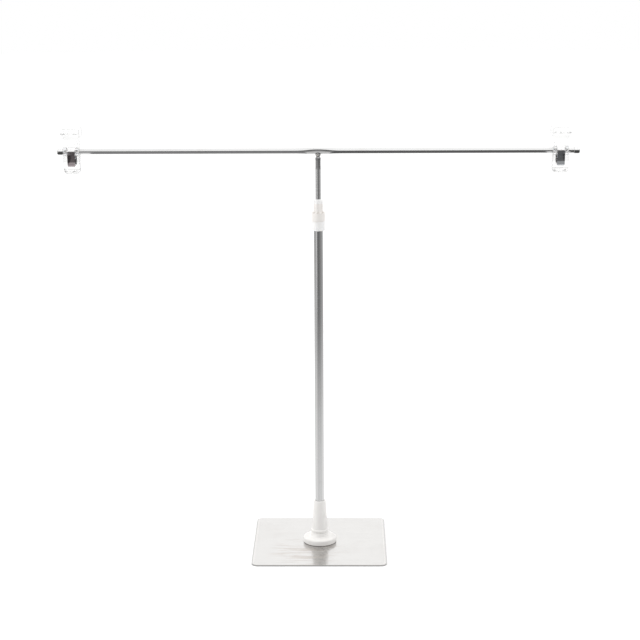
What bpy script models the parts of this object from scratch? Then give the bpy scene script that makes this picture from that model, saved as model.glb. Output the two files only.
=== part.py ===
"""Tabletop backdrop stand: a square base plate, a telescopic mast clamped by two plastic nuts, and a
T crossbar that carries two clear spring clips.

Metres, +Z up. The origin is at the centre of the base plate's underside, the crossbar runs along X,
and the front is towards -Y.
"""

import math

import bmesh
import bpy
from mathutils import Matrix, Vector

STAND_NAME = "backdrop_stand"

# Clearances between neighbouring pieces, and the small roundings of edges.
GAP = 0.0003
SLIDING_GAP = 0.0004
EDGE_RADIUS = 0.0006
FINE_EDGE_RADIUS = 0.0003

# Base plate, its pressed dimple and the screw under it.
PLATE_SIDE = 0.180
PLATE_THICKNESS = 0.002
PLATE_CORNER_RADIUS = 0.0085
DIMPLE_RISE = 0.0016
DIMPLE_TOP_DIAMETER = 0.020
DIMPLE_RAMP = 0.0022
SCREW_DIAMETER = 0.005
SCREW_HEAD_STEP = 0.0021
SCREW_HEAD_RIM = 0.0005
SCREW_TIP_BEYOND_NUT = 0.0007
DRIVE_FLATS = 0.003
DRIVE_DEPTH = 0.0014
NUT_WALL = 0.0015
NUT_HEIGHT = 0.004

# Mast tubes. The telescope room is between the rod and the lower tube's bore, and the guide fills it.
ROD_DIAMETER = 0.0070
ROD_WALL = 0.0006
ROD_LENGTH = 0.308
ROD_EXPOSED = 0.0633
ROD_NECK_STEP = 0.000975
ROD_NECK_LENGTH = 0.0036
ROD_BEAD_STAND = 0.000575
ROD_BEAD_HEIGHT = 0.0026
ROD_BEAD_CREST = 0.0010
ROD_FOOT_HEIGHT = 0.0015
JOURNAL_STEP = 0.000875
GUIDE_LENGTH = 0.008
GUIDE_SLIT = 0.0010
TELESCOPE_ROOM = 0.0017
LOWER_TUBE_WALL = 0.0008
LOWER_TUBE_LENGTH = 0.439

# Base socket: flange, flared neck and threaded stub.
FLANGE_DIAMETER = 0.045
FLANGE_HEIGHT = 0.0073
FLANGE_EDGE_RADIUS = 0.0022
SOCKET_WEB = 0.0025
STUB_WALL = 0.0020
STUB_LENGTH = 0.0143
NECK_SHOULDER = 0.0033
NECK_HEIGHT = 0.0066
NECK_FLARE = 0.0012
NECK_FILLET = 0.0025

# Base collet and cone nut.
COLLET_HEIGHT = 0.0090
COLLET_TAPER = 0.0011
COLLET_SLIT = 0.0015
CONE_NUT_HEIGHT = 0.0445
CONE_NUT_TOP_WALL = 0.0018
CONE_NUT_FOOT_WALL = 0.0022
CONE_NUT_LIP_STAND = 0.00115
CONE_NUT_LIP_HEIGHT = 0.0042
CONE_NUT_LIP_CREST = 0.0027
CONE_NUT_EDGE_RADIUS = 0.0009

# Height lock: collar on the lower tube, split collet and clamp nut.
LOCK_COLLAR_WALL = 0.0022
LOCK_COLLAR_LENGTH = 0.0122
LOCK_TUBE_DEPTH = 0.0148
LOCK_STUB_WALL = 0.0008
LOCK_STUB_LENGTH = 0.0090
LOCK_COLLET_HEIGHT = 0.0075
LOCK_COLLET_WALL = 0.0012
LOCK_COLLET_TAPER = 0.0009
LOCK_COLLET_SLIT = 0.0012
LOCK_NUT_HEIGHT = 0.0290
LOCK_BAND_WALL = 0.00125
LOCK_BAND_HEIGHT = 0.0108
LOCK_SHOULDER_HEIGHT = 0.0026
LOCK_GRIP_WALL = 0.0022
LOCK_DOME_RADIUS = 0.0023
FLUTE_COUNT = 8
FLUTE_SIDES = 12
FLUTE_RADIUS = 0.0016
FLUTE_DEPTH = 0.0007
FLUTE_LENGTH = 0.0139

# Crossbar, weld and end caps.
BAR_SPAN = 0.680
BAR_DIAMETER = 0.0070
BAR_WALL = 0.0006
BAR_FLAT_LENGTH = 0.062
BAR_FLAT_PINCH = 0.0011
BAR_FLAT_SPREAD = 0.0006
WELD_FOOT_WALL = 0.0006
WELD_TOP_WALL = 0.0008
WELD_DROP = 0.0024
WELD_RISE = 0.0008
CAP_WALL = 0.0005
CAP_LENGTH = 0.0078
CAP_END_WALL = 0.0016
CAP_ROUNDING = 0.0022

# Spring clips. A stand-off is the bare bar between a clip's sleeve and the end cap.
CLIP_STAND_OFFS = {"left": 0.001, "right": 0.007}
SLEEVE_WALL = 0.000775
SLEEVE_LENGTH = 0.0204
CLIP_RISE = 0.0305
CLIP_DROP = 0.0290
JAW_THICKNESS = 0.0022
JAW_WIDTH = 0.0212
JAW_SHOULDER_DROP = 0.0040
JAW_CORNER_RADIUS = 0.0048
MID_WIDTH = 0.0192
MID_FOOT_RISE = 0.0020
MID_TOP_RISE = 0.0120
WAIST_WIDTH = 0.0140
WAIST_RISE = 0.0156
WAIST_RADIUS = 0.0012
PAD_WIDTH = 0.0240
PAD_FOOT_RISE = 0.0190
PAD_CORNER_RADIUS = 0.0028
LUG_ANGLE = math.radians(62)
LUG_WALL = 0.0016
LEVER_ROOT_STEP = 0.0017
LEVER_SPREAD = 0.0084
PAD_SPREAD = 0.0114
THROAT_WIDTH = 0.0078
THROAT_TOP_STEP = 0.0032
THROAT_LOW_DROP = 0.0135
GRIP_LENGTH = 0.0070
GRIP_THICKNESS = 0.0026
TIP_GAP = 0.0005
TIP_RADIUS = 0.0016
BEND_RADIUS = 0.006
CREASE_RADIUS = 0.003
INNER_BEND_RADIUS = 0.001
PAD_EDGE_RADIUS = 0.0008

# Leaf spring of a clip, and the windows through which it passes.
SPRING_WIDTH = 0.0100
SPRING_THICKNESS = 0.0005
SPRING_CLEARANCE = 0.00035
SPRING_LEG_TOP = 0.0014
SPRING_REACH = 0.0190
SPRING_LIP = 0.0016
SPRING_LIP_FLARE = 0.0008
SPRING_BEND_RADIUS = 0.0008
SPRING_LOOP_ANGLE = math.radians(35)
WINDOW_SIDE_ROOM = 0.0005
WINDOW_FOOT_RISE = 0.0003
WINDOW_HEADROOM = 0.0028

# Facets of round surfaces, and lengths that only the modelling needs.
FINE_SEGMENTS = 32
TUBE_SEGMENTS = 24
ARC_STEPS = 3
SEAT_STEPS = 10
FLAT_STATIONS = 9
SMOOTH_ANGLE = math.radians(35)
OVERCUT = 0.001
WELD_DISTANCE = 0.000001

# Radii that follow from the sizes above.
ROD_RADIUS = ROD_DIAMETER / 2
ROD_BORE_RADIUS = ROD_RADIUS + SLIDING_GAP
JOURNAL_RADIUS = ROD_RADIUS - JOURNAL_STEP
TUBE_BORE_RADIUS = ROD_RADIUS + TELESCOPE_ROOM
TUBE_RADIUS = TUBE_BORE_RADIUS + LOWER_TUBE_WALL
TUBE_SEAT_RADIUS = TUBE_RADIUS + GAP
SCREW_RADIUS = SCREW_DIAMETER / 2
SCREW_HOLE_RADIUS = SCREW_RADIUS + GAP
SCREW_HEAD_RADIUS = SCREW_RADIUS + SCREW_HEAD_STEP
NUT_FLATS = SCREW_DIAMETER + 2 * NUT_WALL
DIMPLE_TOP_RADIUS = DIMPLE_TOP_DIAMETER / 2
DIMPLE_FOOT_RADIUS = DIMPLE_TOP_RADIUS + DIMPLE_RAMP
STUB_RADIUS = TUBE_SEAT_RADIUS + STUB_WALL
CONE_NUT_THREAD_RADIUS = STUB_RADIUS + GAP
COLLET_RADIUS = STUB_RADIUS - GAP
LOCK_STUB_RADIUS = TUBE_SEAT_RADIUS + LOCK_STUB_WALL
LOCK_THREAD_RADIUS = LOCK_STUB_RADIUS + GAP
LOCK_COLLET_BORE = ROD_RADIUS + GAP
LOCK_COLLET_RADIUS = LOCK_COLLET_BORE + LOCK_COLLET_WALL
BAR_RADIUS = BAR_DIAMETER / 2
BAR_FIT_RADIUS = BAR_RADIUS + GAP
BAR_FLAT_DEPTH = BAR_RADIUS - BAR_FLAT_PINCH
BAR_FLAT_HEIGHT = BAR_RADIUS + BAR_FLAT_SPREAD
SLEEVE_RADIUS = BAR_FIT_RADIUS + SLEEVE_WALL
SEAT_RADIUS = SLEEVE_RADIUS + GAP
LUG_RADIUS = SEAT_RADIUS + LUG_WALL
JAW_OUTER_RADIUS = SEAT_RADIUS + JAW_THICKNESS
SPRING_LOOP_RADIUS = SEAT_RADIUS + SPRING_THICKNESS / 2 + SPRING_CLEARANCE / 2

# Heights above the table that follow from them, from the base upward.
DIMPLE_TOP = PLATE_THICKNESS + DIMPLE_RISE
SOCKET_FOOT = PLATE_THICKNESS + GAP
SOCKET_WEB_FOOT = DIMPLE_TOP + GAP
NUT_SEAT = SOCKET_WEB_FOOT + SOCKET_WEB
NUT_FOOT = NUT_SEAT + GAP
NUT_TOP = NUT_FOOT + NUT_HEIGHT
TUBE_LEDGE = NUT_TOP + GAP
FLANGE_TOP = SOCKET_FOOT + FLANGE_HEIGHT
NECK_TOP = FLANGE_TOP + NECK_HEIGHT
STUB_TOP = NECK_TOP + STUB_LENGTH
COLLET_FOOT = STUB_TOP + GAP
COLLET_TOP = COLLET_FOOT + COLLET_HEIGHT
CONE_NUT_FOOT = NECK_TOP + GAP
CONE_NUT_TOP = CONE_NUT_FOOT + CONE_NUT_HEIGHT
TUBE_FOOT = TUBE_LEDGE + GAP
TUBE_TOP = TUBE_FOOT + LOWER_TUBE_LENGTH
COLLAR_FOOT = TUBE_TOP - LOCK_TUBE_DEPTH
COLLAR_TOP = COLLAR_FOOT + LOCK_COLLAR_LENGTH
LOCK_LEDGE = TUBE_TOP + GAP
LOCK_STUB_TOP = COLLAR_TOP + LOCK_STUB_LENGTH
LOCK_COLLET_FOOT = LOCK_STUB_TOP + GAP
LOCK_COLLET_TOP = LOCK_COLLET_FOOT + LOCK_COLLET_HEIGHT
LOCK_NUT_FOOT = COLLAR_TOP + GAP
LOCK_NUT_TOP = LOCK_NUT_FOOT + LOCK_NUT_HEIGHT
BAR_HEIGHT = LOCK_NUT_TOP + ROD_EXPOSED
BAR_BOTTOM = BAR_HEIGHT - BAR_FLAT_HEIGHT
ROD_TOP = BAR_BOTTOM - GAP
ROD_FOOT = ROD_TOP - ROD_LENGTH
BEAD_TOP = ROD_TOP - ROD_NECK_LENGTH
BEAD_FOOT = BEAD_TOP - ROD_BEAD_HEIGHT
JOURNAL_FOOT = ROD_FOOT + ROD_FOOT_HEIGHT
GUIDE_FOOT = JOURNAL_FOOT + GAP
GUIDE_TOP = GUIDE_FOOT + GUIDE_LENGTH
JOURNAL_TOP = GUIDE_TOP + GAP

# Base colour, roughness and metallic value of each finish.
FINISHES = {
    "brushed_plate": ((0.78, 0.78, 0.77), 0.38, 1.0),
    "polished_steel": ((0.72, 0.72, 0.73), 0.15, 1.0),
    "zinc_steel": ((0.62, 0.63, 0.62), 0.35, 1.0),
    "spring_steel": ((0.52, 0.52, 0.53), 0.25, 0.9),
    "white_plastic": ((0.90, 0.90, 0.88), 0.30, 0.0),
    "clear_plastic": ((0.86, 0.88, 0.89), 0.10, 0.0),
    "milky_plastic": ((0.92, 0.92, 0.91), 0.30, 0.0),
    "cap_chrome": ((0.75, 0.75, 0.76), 0.12, 1.0),
}


def clear_scene():
    """Remove every object, and return new collections for the parts and for the cutters."""
    for item in list(bpy.data.objects):
        bpy.data.objects.remove(item, do_unlink=True)
    collections = []
    for name in (STAND_NAME, "cutters"):
        collection = bpy.data.collections.new(name)
        bpy.context.scene.collection.children.link(collection)
        collections.append(collection)
    return collections


PARTS, CUTTERS = clear_scene()


def make_material(name):
    """Principled material with the colour, roughness and metallic value of the named finish."""
    if name in bpy.data.materials:
        return bpy.data.materials[name]
    colour, roughness, metallic = FINISHES[name]
    material = bpy.data.materials.new(name)
    material.use_nodes = True
    shader = material.node_tree.nodes["Principled BSDF"]
    shader.inputs["Base Color"].default_value = (*colour, 1.0)
    shader.inputs["Roughness"].default_value = roughness
    shader.inputs["Metallic"].default_value = metallic
    return material


def arc_points(radius, start, end, steps):
    """Points along an arc about the origin, from the start angle to the end angle."""
    turns = [start + (end - start) * i / steps for i in range(steps + 1)]
    return [(radius * math.cos(turn), radius * math.sin(turn)) for turn in turns]


def rounded(corners, closed=True):
    """Outline through corners of (x, y) or (x, y, radius), where a radius turns a corner into an arc."""
    points = []
    last = len(corners) - 1
    for i, corner in enumerate(corners):
        here = Vector(corner[:2])
        is_end = not closed and i in (0, last)
        if is_end or len(corner) < 3:
            points.append(tuple(here))
            continue
        before = (Vector(corners[i - 1][:2]) - here).normalized()
        after = (Vector(corners[(i + 1) % len(corners)][:2]) - here).normalized()
        half_angle = before.angle(after) / 2
        radius = corner[2]
        reach = radius / math.tan(half_angle)
        centre = here + (before + after).normalized() * radius / math.sin(half_angle)
        first = here + before * reach - centre
        sweep = first.angle_signed(here + after * reach - centre)
        for step in range(ARC_STEPS + 1):
            turn = Matrix.Rotation(-sweep * step / ARC_STEPS, 2)
            points.append(tuple(centre + turn @ first))
    return points


def place(name, data, location=(0, 0, 0), parent=None):
    """New object in the stand's collection, at a location under its parent."""
    part = bpy.data.objects.new(name, data)
    PARTS.objects.link(part)
    part.location = location
    part.parent = parent
    return part


def finish(part, finish_name):
    """Give a part its material, and shade its round faces smooth."""
    part.data.materials.clear()
    part.data.materials.append(make_material(finish_name))
    part.data.shade_smooth()
    part.data.set_sharp_from_angle(angle=SMOOTH_ANGLE)
    return part


def turned(name, profile, closed=True, segments=TUBE_SEGMENTS):
    """Turned shape about Z. The (radius, height) profile runs down the outer side, top to bottom."""
    mesh = bpy.data.meshes.new(name)
    edges = [(i, i + 1) for i in range(len(profile) - 1)]
    if closed:
        edges.append((len(profile) - 1, 0))
    mesh.from_pydata([(radius, 0, height) for radius, height in profile], edges, [])
    part = place(name, mesh)
    screw = part.modifiers.new("turn", "SCREW")
    screw.axis = "Z"
    screw.angle = 2 * math.pi
    screw.steps = segments
    screw.render_steps = segments
    screw.use_merge_vertices = True
    screw.merge_threshold = WELD_DISTANCE
    return part


def mesh_of(part):
    """Mesh of a part with its modifiers applied. The part is removed, and so are its cutters."""
    bpy.context.view_layer.update()
    evaluated = part.evaluated_get(bpy.context.evaluated_depsgraph_get())
    mesh = bpy.data.meshes.new_from_object(evaluated)
    cutters = [modifier.object for modifier in part.modifiers if modifier.type == "BOOLEAN"]
    for item in [part, *cutters]:
        bpy.data.objects.remove(item, do_unlink=True)
    return mesh


def axes_matrix(axes):
    """Matrix that sends local x, y and z to the three world axes named, in that order."""
    columns = [Vector([letter == axis for axis in "XYZ"]) for letter in axes]
    return Matrix(columns).transposed().to_4x4()


def curve_mesh(name, outline, thickness, axes, closed=True):
    """Mesh of a 2D curve extruded about its own plane, whose x, y and thickness follow the axes named."""
    curve = bpy.data.curves.new(name, "CURVE")
    curve.dimensions = "2D"
    curve.fill_mode = "BOTH" if closed else "NONE"
    curve.extrude = thickness / 2
    spline = curve.splines.new("POLY")
    spline.points.add(len(outline) - 1)
    for point, (x, y) in zip(spline.points, outline):
        point.co = (x, y, 0, 1)
    spline.use_cyclic_u = closed
    mesh = mesh_of(place(name, curve))
    edit = bmesh.new()
    edit.from_mesh(mesh)
    bmesh.ops.remove_doubles(edit, verts=edit.verts, dist=WELD_DISTANCE)
    edit.transform(axes_matrix(axes))
    bmesh.ops.recalc_face_normals(edit, faces=edit.faces)
    edit.to_mesh(mesh)
    edit.free()
    return mesh


def prism(name, sides, flats, foot, top):
    """Upright prism of a regular polygon, measured across its flats."""
    mesh = bpy.data.meshes.new(name)
    edit = bmesh.new()
    radius = flats / 2 / math.cos(math.pi / sides)
    bmesh.ops.create_cone(
        edit, cap_ends=True, segments=sides, radius1=radius, radius2=radius, depth=top - foot
    )
    edit.to_mesh(mesh)
    edit.free()
    mesh.transform(Matrix.Translation((0, 0, (foot + top) / 2)))
    return place(name, mesh)


def box(name, low, high):
    """Box between two opposite corners."""
    mesh = bpy.data.meshes.new(name)
    edit = bmesh.new()
    bmesh.ops.create_cube(edit, size=1)
    edit.to_mesh(mesh)
    edit.free()
    low, high = Vector(low), Vector(high)
    mesh.transform(Matrix.Translation((low + high) / 2) @ Matrix.Diagonal((*(high - low), 1)))
    return place(name, mesh)


def combine(part, tool, operation="DIFFERENCE"):
    """Cut, join or intersect a part with a tool, which moves to the cutters."""
    PARTS.objects.unlink(tool)
    CUTTERS.objects.link(tool)
    tool.hide_render = True
    tool.display_type = "WIRE"
    boolean = part.modifiers.new(tool.name, "BOOLEAN")
    boolean.operation = operation
    boolean.solver = "EXACT"
    boolean.object = tool
    return part


def bush(name, foot, top, foot_radius, top_radius, bore, slit):
    """Split bush: a short tube, tapered outside, with a slot through one side."""
    part = turned(name, [(top_radius, top), (foot_radius, foot), (bore, foot), (bore, top)])
    low = (0, -slit / 2, foot - OVERCUT)
    high = (foot_radius + OVERCUT, slit / 2, top + OVERCUT)
    combine(part, box(f"{name}_slit", low, high))
    return finish(part, "white_plastic")


def build_base_plate():
    """Square sheet with rounded corners, a pressed dimple at its middle and a countersunk hole."""
    half = PLATE_SIDE / 2
    corners = [(-half, -half), (half, -half), (half, half), (-half, half)]
    outline = rounded([(x, y, PLATE_CORNER_RADIUS) for x, y in corners])
    plate = place("base_plate", curve_mesh("base_plate", outline, PLATE_THICKNESS, "XYZ"))
    plate.data.transform(Matrix.Translation((0, 0, PLATE_THICKNESS / 2)))
    mound_profile = [
        (0, DIMPLE_TOP),
        (DIMPLE_TOP_RADIUS, DIMPLE_TOP),
        (DIMPLE_FOOT_RADIUS, PLATE_THICKNESS),
        (DIMPLE_FOOT_RADIUS, PLATE_THICKNESS / 2),
        (0, PLATE_THICKNESS / 2),
    ]
    combine(plate, turned("dimple_outside", mound_profile, False, FINE_SEGMENTS), "UNION")
    hollow_profile = [
        (0, DIMPLE_RISE),
        (DIMPLE_TOP_RADIUS - GAP, DIMPLE_RISE),
        (DIMPLE_FOOT_RADIUS - GAP, 0),
        (DIMPLE_FOOT_RADIUS - GAP, -OVERCUT),
        (0, -OVERCUT),
    ]
    combine(plate, turned("dimple_inside", hollow_profile, False, FINE_SEGMENTS))
    sink_radius = SCREW_HEAD_RADIUS + GAP
    sink_top = DIMPLE_RISE + sink_radius - SCREW_HOLE_RADIUS
    hole_top = max(sink_top, DIMPLE_TOP) + OVERCUT
    sink_profile = [
        (0, hole_top),
        (SCREW_HOLE_RADIUS, hole_top),
        (SCREW_HOLE_RADIUS, sink_top),
        (sink_radius, DIMPLE_RISE),
        (sink_radius, -OVERCUT),
        (0, -OVERCUT),
    ]
    combine(plate, turned("screw_countersink", sink_profile, False))
    return finish(plate, "brushed_plate")


def build_base_screw():
    """Countersunk screw that comes up through the dimple, with a hexagon recess in its head."""
    rim_top = DIMPLE_RISE + GAP - GAP * math.sqrt(2)
    rim_foot = rim_top - SCREW_HEAD_RIM
    tip = NUT_TOP + SCREW_TIP_BEYOND_NUT
    profile = [
        (0, tip),
        (SCREW_RADIUS - SCREW_TIP_BEYOND_NUT, tip),
        (SCREW_RADIUS, NUT_TOP),
        (SCREW_RADIUS, rim_top + SCREW_HEAD_STEP),
        (SCREW_HEAD_RADIUS, rim_top),
        (SCREW_HEAD_RADIUS, rim_foot),
        (0, rim_foot),
    ]
    screw = turned("base_screw", profile, closed=False)
    combine(screw, prism("drive_recess", 6, DRIVE_FLATS, rim_foot - OVERCUT, rim_foot + DRIVE_DEPTH))
    return finish(screw, "zinc_steel")


def build_socket_nut():
    """Hexagon nut trapped in the socket."""
    nut = prism("socket_nut", 6, NUT_FLATS, NUT_FOOT, NUT_TOP)
    bore = prism("nut_bore", TUBE_SEGMENTS, 2 * SCREW_HOLE_RADIUS, NUT_FOOT - OVERCUT, NUT_TOP + OVERCUT)
    combine(nut, bore)
    return finish(nut, "zinc_steel")


def build_base_socket():
    """Flange, flared neck and threaded stub, bored for the lower tube, hollow over the dimple."""
    neck_radius = STUB_RADIUS + NECK_SHOULDER
    flange_radius = FLANGE_DIAMETER / 2
    hollow_radius = DIMPLE_FOOT_RADIUS + GAP
    profile = rounded(
        [
            (STUB_RADIUS, STUB_TOP),
            (STUB_RADIUS, NECK_TOP),
            (neck_radius, NECK_TOP, EDGE_RADIUS),
            (neck_radius + NECK_FLARE, FLANGE_TOP, NECK_FILLET),
            (flange_radius, FLANGE_TOP, FLANGE_EDGE_RADIUS),
            (flange_radius, SOCKET_FOOT),
            (hollow_radius, SOCKET_FOOT),
            (hollow_radius, SOCKET_WEB_FOOT),
            (SCREW_HOLE_RADIUS, SOCKET_WEB_FOOT),
            (SCREW_HOLE_RADIUS, TUBE_LEDGE),
            (TUBE_SEAT_RADIUS, TUBE_LEDGE),
            (TUBE_SEAT_RADIUS, STUB_TOP),
        ]
    )
    socket = turned("base_socket", profile, segments=FINE_SEGMENTS)
    combine(socket, prism("nut_pocket", 6, NUT_FLATS + 2 * GAP, NUT_SEAT, TUBE_LEDGE + OVERCUT))
    return finish(socket, "white_plastic")


def build_base_collet():
    """Split bush round the lower tube, on top of the socket's stub."""
    top_radius = COLLET_RADIUS - COLLET_TAPER
    return bush(
        "base_collet", COLLET_FOOT, COLLET_TOP, COLLET_RADIUS, top_radius, TUBE_SEAT_RADIUS, COLLET_SLIT
    )


def build_base_cone_nut():
    """Tall conical nut with a rolled lip, threaded on the stub and coned over the collet."""
    foot_radius = CONE_NUT_THREAD_RADIUS + CONE_NUT_FOOT_WALL
    lip_radius = foot_radius + CONE_NUT_LIP_STAND
    cone_radius = COLLET_RADIUS + GAP
    cone_top_radius = cone_radius - COLLET_TAPER
    profile = rounded(
        [
            (TUBE_SEAT_RADIUS + CONE_NUT_TOP_WALL, CONE_NUT_TOP, CONE_NUT_EDGE_RADIUS),
            (foot_radius, CONE_NUT_FOOT + CONE_NUT_LIP_HEIGHT, CONE_NUT_EDGE_RADIUS),
            (lip_radius, CONE_NUT_FOOT + CONE_NUT_LIP_CREST, CONE_NUT_EDGE_RADIUS),
            (lip_radius - GAP, CONE_NUT_FOOT, CONE_NUT_EDGE_RADIUS),
            (CONE_NUT_THREAD_RADIUS, CONE_NUT_FOOT),
            (CONE_NUT_THREAD_RADIUS, COLLET_FOOT),
            (cone_radius, COLLET_FOOT),
            (cone_top_radius, COLLET_TOP),
            (cone_top_radius, COLLET_TOP + GAP),
            (TUBE_SEAT_RADIUS, COLLET_TOP + GAP),
            (TUBE_SEAT_RADIUS, CONE_NUT_TOP),
        ]
    )
    return finish(turned("base_cone_nut", profile, segments=FINE_SEGMENTS), "white_plastic")


def build_lower_tube():
    """Outer tube of the mast, open at both ends."""
    profile = [
        (TUBE_RADIUS, TUBE_TOP),
        (TUBE_RADIUS, TUBE_FOOT),
        (TUBE_BORE_RADIUS, TUBE_FOOT),
        (TUBE_BORE_RADIUS, TUBE_TOP),
    ]
    return finish(turned("lower_tube", profile), "polished_steel")


def build_lock_body():
    """Collar on the lower tube's top, with a threaded stub that the rod runs through."""
    collar_radius = TUBE_SEAT_RADIUS + LOCK_COLLAR_WALL
    profile = rounded(
        [
            (LOCK_STUB_RADIUS, LOCK_STUB_TOP),
            (LOCK_STUB_RADIUS, COLLAR_TOP),
            (collar_radius, COLLAR_TOP, FINE_EDGE_RADIUS),
            (collar_radius, COLLAR_FOOT, EDGE_RADIUS),
            (TUBE_SEAT_RADIUS, COLLAR_FOOT),
            (TUBE_SEAT_RADIUS, LOCK_LEDGE),
            (ROD_BORE_RADIUS, LOCK_LEDGE),
            (ROD_BORE_RADIUS, LOCK_STUB_TOP),
        ]
    )
    return finish(turned("lock_body", profile), "white_plastic")


def build_lock_collet():
    """Split bush round the rod, on top of the lock body's stub."""
    top_radius = LOCK_COLLET_RADIUS - LOCK_COLLET_TAPER
    return bush(
        "lock_collet",
        LOCK_COLLET_FOOT,
        LOCK_COLLET_TOP,
        LOCK_COLLET_RADIUS,
        top_radius,
        LOCK_COLLET_BORE,
        LOCK_COLLET_SLIT,
    )


def build_lock_nut():
    """Clamp nut: a plain band below, a narrower fluted grip above, domed where the rod comes out."""
    band_radius = LOCK_THREAD_RADIUS + LOCK_BAND_WALL
    band_top = LOCK_NUT_FOOT + LOCK_BAND_HEIGHT
    grip_radius = ROD_BORE_RADIUS + LOCK_GRIP_WALL
    cone_radius = LOCK_COLLET_RADIUS + GAP
    cone_top_radius = cone_radius - LOCK_COLLET_TAPER
    profile = rounded(
        [
            (grip_radius, LOCK_NUT_TOP, LOCK_DOME_RADIUS),
            (grip_radius, band_top + LOCK_SHOULDER_HEIGHT, LOCK_SHOULDER_HEIGHT),
            (band_radius, band_top, EDGE_RADIUS),
            (band_radius, LOCK_NUT_FOOT, EDGE_RADIUS),
            (LOCK_THREAD_RADIUS, LOCK_NUT_FOOT),
            (LOCK_THREAD_RADIUS, LOCK_COLLET_FOOT),
            (cone_radius, LOCK_COLLET_FOOT),
            (cone_top_radius, LOCK_COLLET_TOP),
            (cone_top_radius, LOCK_COLLET_TOP + GAP),
            (ROD_BORE_RADIUS, LOCK_COLLET_TOP + GAP),
            (ROD_BORE_RADIUS, LOCK_NUT_TOP),
        ]
    )
    nut = turned("lock_nut", profile, segments=FINE_SEGMENTS)
    flute_place = grip_radius + FLUTE_RADIUS - FLUTE_DEPTH
    flute_foot = LOCK_NUT_TOP - FLUTE_LENGTH
    for number in range(FLUTE_COUNT):
        turn = 2 * math.pi * number / FLUTE_COUNT
        name = f"grip_flute_{number + 1}"
        flute = prism(name, FLUTE_SIDES, 2 * FLUTE_RADIUS, flute_foot, LOCK_NUT_TOP + OVERCUT)
        flute.location = (flute_place * math.cos(turn), flute_place * math.sin(turn), 0)
        combine(nut, flute)
    return finish(nut, "white_plastic")


def build_upper_rod():
    """Telescopic tube, swaged shut to a neck at its top, with a stop bead and a journal for its guide."""
    neck_radius = ROD_RADIUS - ROD_NECK_STEP
    bore = ROD_RADIUS - ROD_WALL
    journal_bore = JOURNAL_RADIUS - ROD_WALL
    profile = rounded(
        [
            (0, ROD_TOP),
            (neck_radius, ROD_TOP),
            (neck_radius, BEAD_TOP, EDGE_RADIUS),
            (ROD_RADIUS + ROD_BEAD_STAND, BEAD_TOP - ROD_BEAD_CREST, EDGE_RADIUS),
            (ROD_RADIUS, BEAD_FOOT, EDGE_RADIUS),
            (ROD_RADIUS, JOURNAL_TOP),
            (JOURNAL_RADIUS, JOURNAL_TOP),
            (JOURNAL_RADIUS, JOURNAL_FOOT),
            (ROD_RADIUS, JOURNAL_FOOT),
            (ROD_RADIUS, ROD_FOOT),
            (journal_bore, ROD_FOOT),
            (journal_bore, JOURNAL_TOP + ROD_WALL),
            (bore, JOURNAL_TOP + ROD_WALL + JOURNAL_STEP),
            (bore, BEAD_FOOT - bore),
            (0, BEAD_FOOT),
        ],
        closed=False,
    )
    return finish(turned("upper_rod", profile, closed=False), "polished_steel")


def build_rod_guide():
    """Split bush snapped into the journal, running in the lower tube."""
    outer = TUBE_BORE_RADIUS - GAP
    return bush("rod_guide", GUIDE_FOOT, GUIDE_TOP, outer, outer, JOURNAL_RADIUS + GAP, GUIDE_SLIT)


def flattening(x):
    """Share of the pressed flat at a place along the crossbar: 1 at the middle, 0 at its ends."""
    reach = BAR_FLAT_LENGTH / 2
    if abs(x) >= reach:
        return 0.0
    return 0.5 + 0.5 * math.cos(math.pi * x / reach)


def build_crossbar(pan_axis):
    """Tube along X, pressed flat front to back at its middle, where the rod is welded."""
    half = BAR_SPAN / 2 - CAP_END_WALL - GAP
    bore = BAR_RADIUS - BAR_WALL
    reach = BAR_FLAT_LENGTH / 2
    stations = [reach - 2 * reach * i / (FLAT_STATIONS - 1) for i in range(FLAT_STATIONS)]
    places = [half, *stations, -half]
    outside = [(BAR_RADIUS, place) for place in places]
    inside = [(bore, place) for place in reversed(places)]
    mesh = mesh_of(turned("crossbar", outside + inside))
    mesh.transform(Matrix.Rotation(math.pi / 2, 4, "Y"))
    for vertex in mesh.vertices:
        share = flattening(vertex.co.x)
        radial = Vector((0, vertex.co.y, vertex.co.z)).normalized()
        vertex.co.y -= radial.y * BAR_FLAT_PINCH * share
        vertex.co.z += radial.z * BAR_FLAT_SPREAD * share
    return finish(place("crossbar", mesh, parent=pan_axis), "polished_steel")


def build_tee_weld():
    """Weld collar between the rod's neck and the underside of the crossbar, saddled to the bar."""
    bore = ROD_RADIUS - ROD_NECK_STEP + GAP
    foot_radius = bore + WELD_FOOT_WALL
    top_radius = bore + WELD_TOP_WALL
    foot = BAR_BOTTOM - WELD_DROP
    top = BAR_BOTTOM + WELD_RISE
    profile = rounded(
        [
            (top_radius, top, FINE_EDGE_RADIUS),
            (top_radius, BAR_BOTTOM, WELD_RISE / 2),
            (foot_radius, foot),
            (bore, foot),
            (bore, top),
        ]
    )
    weld = turned("tee_weld", profile)
    saddle = prism("bar_saddle", TUBE_SEGMENTS, 2, -2 * top_radius, 2 * top_radius)
    saddle.data.transform(Matrix.Rotation(math.pi / 2, 4, "Y"))
    saddle.data.transform(Matrix.Diagonal((1, BAR_FLAT_DEPTH + GAP, BAR_FLAT_HEIGHT + GAP, 1)))
    saddle.location.z = BAR_HEIGHT
    combine(weld, saddle)
    return finish(weld, "polished_steel")


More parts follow.
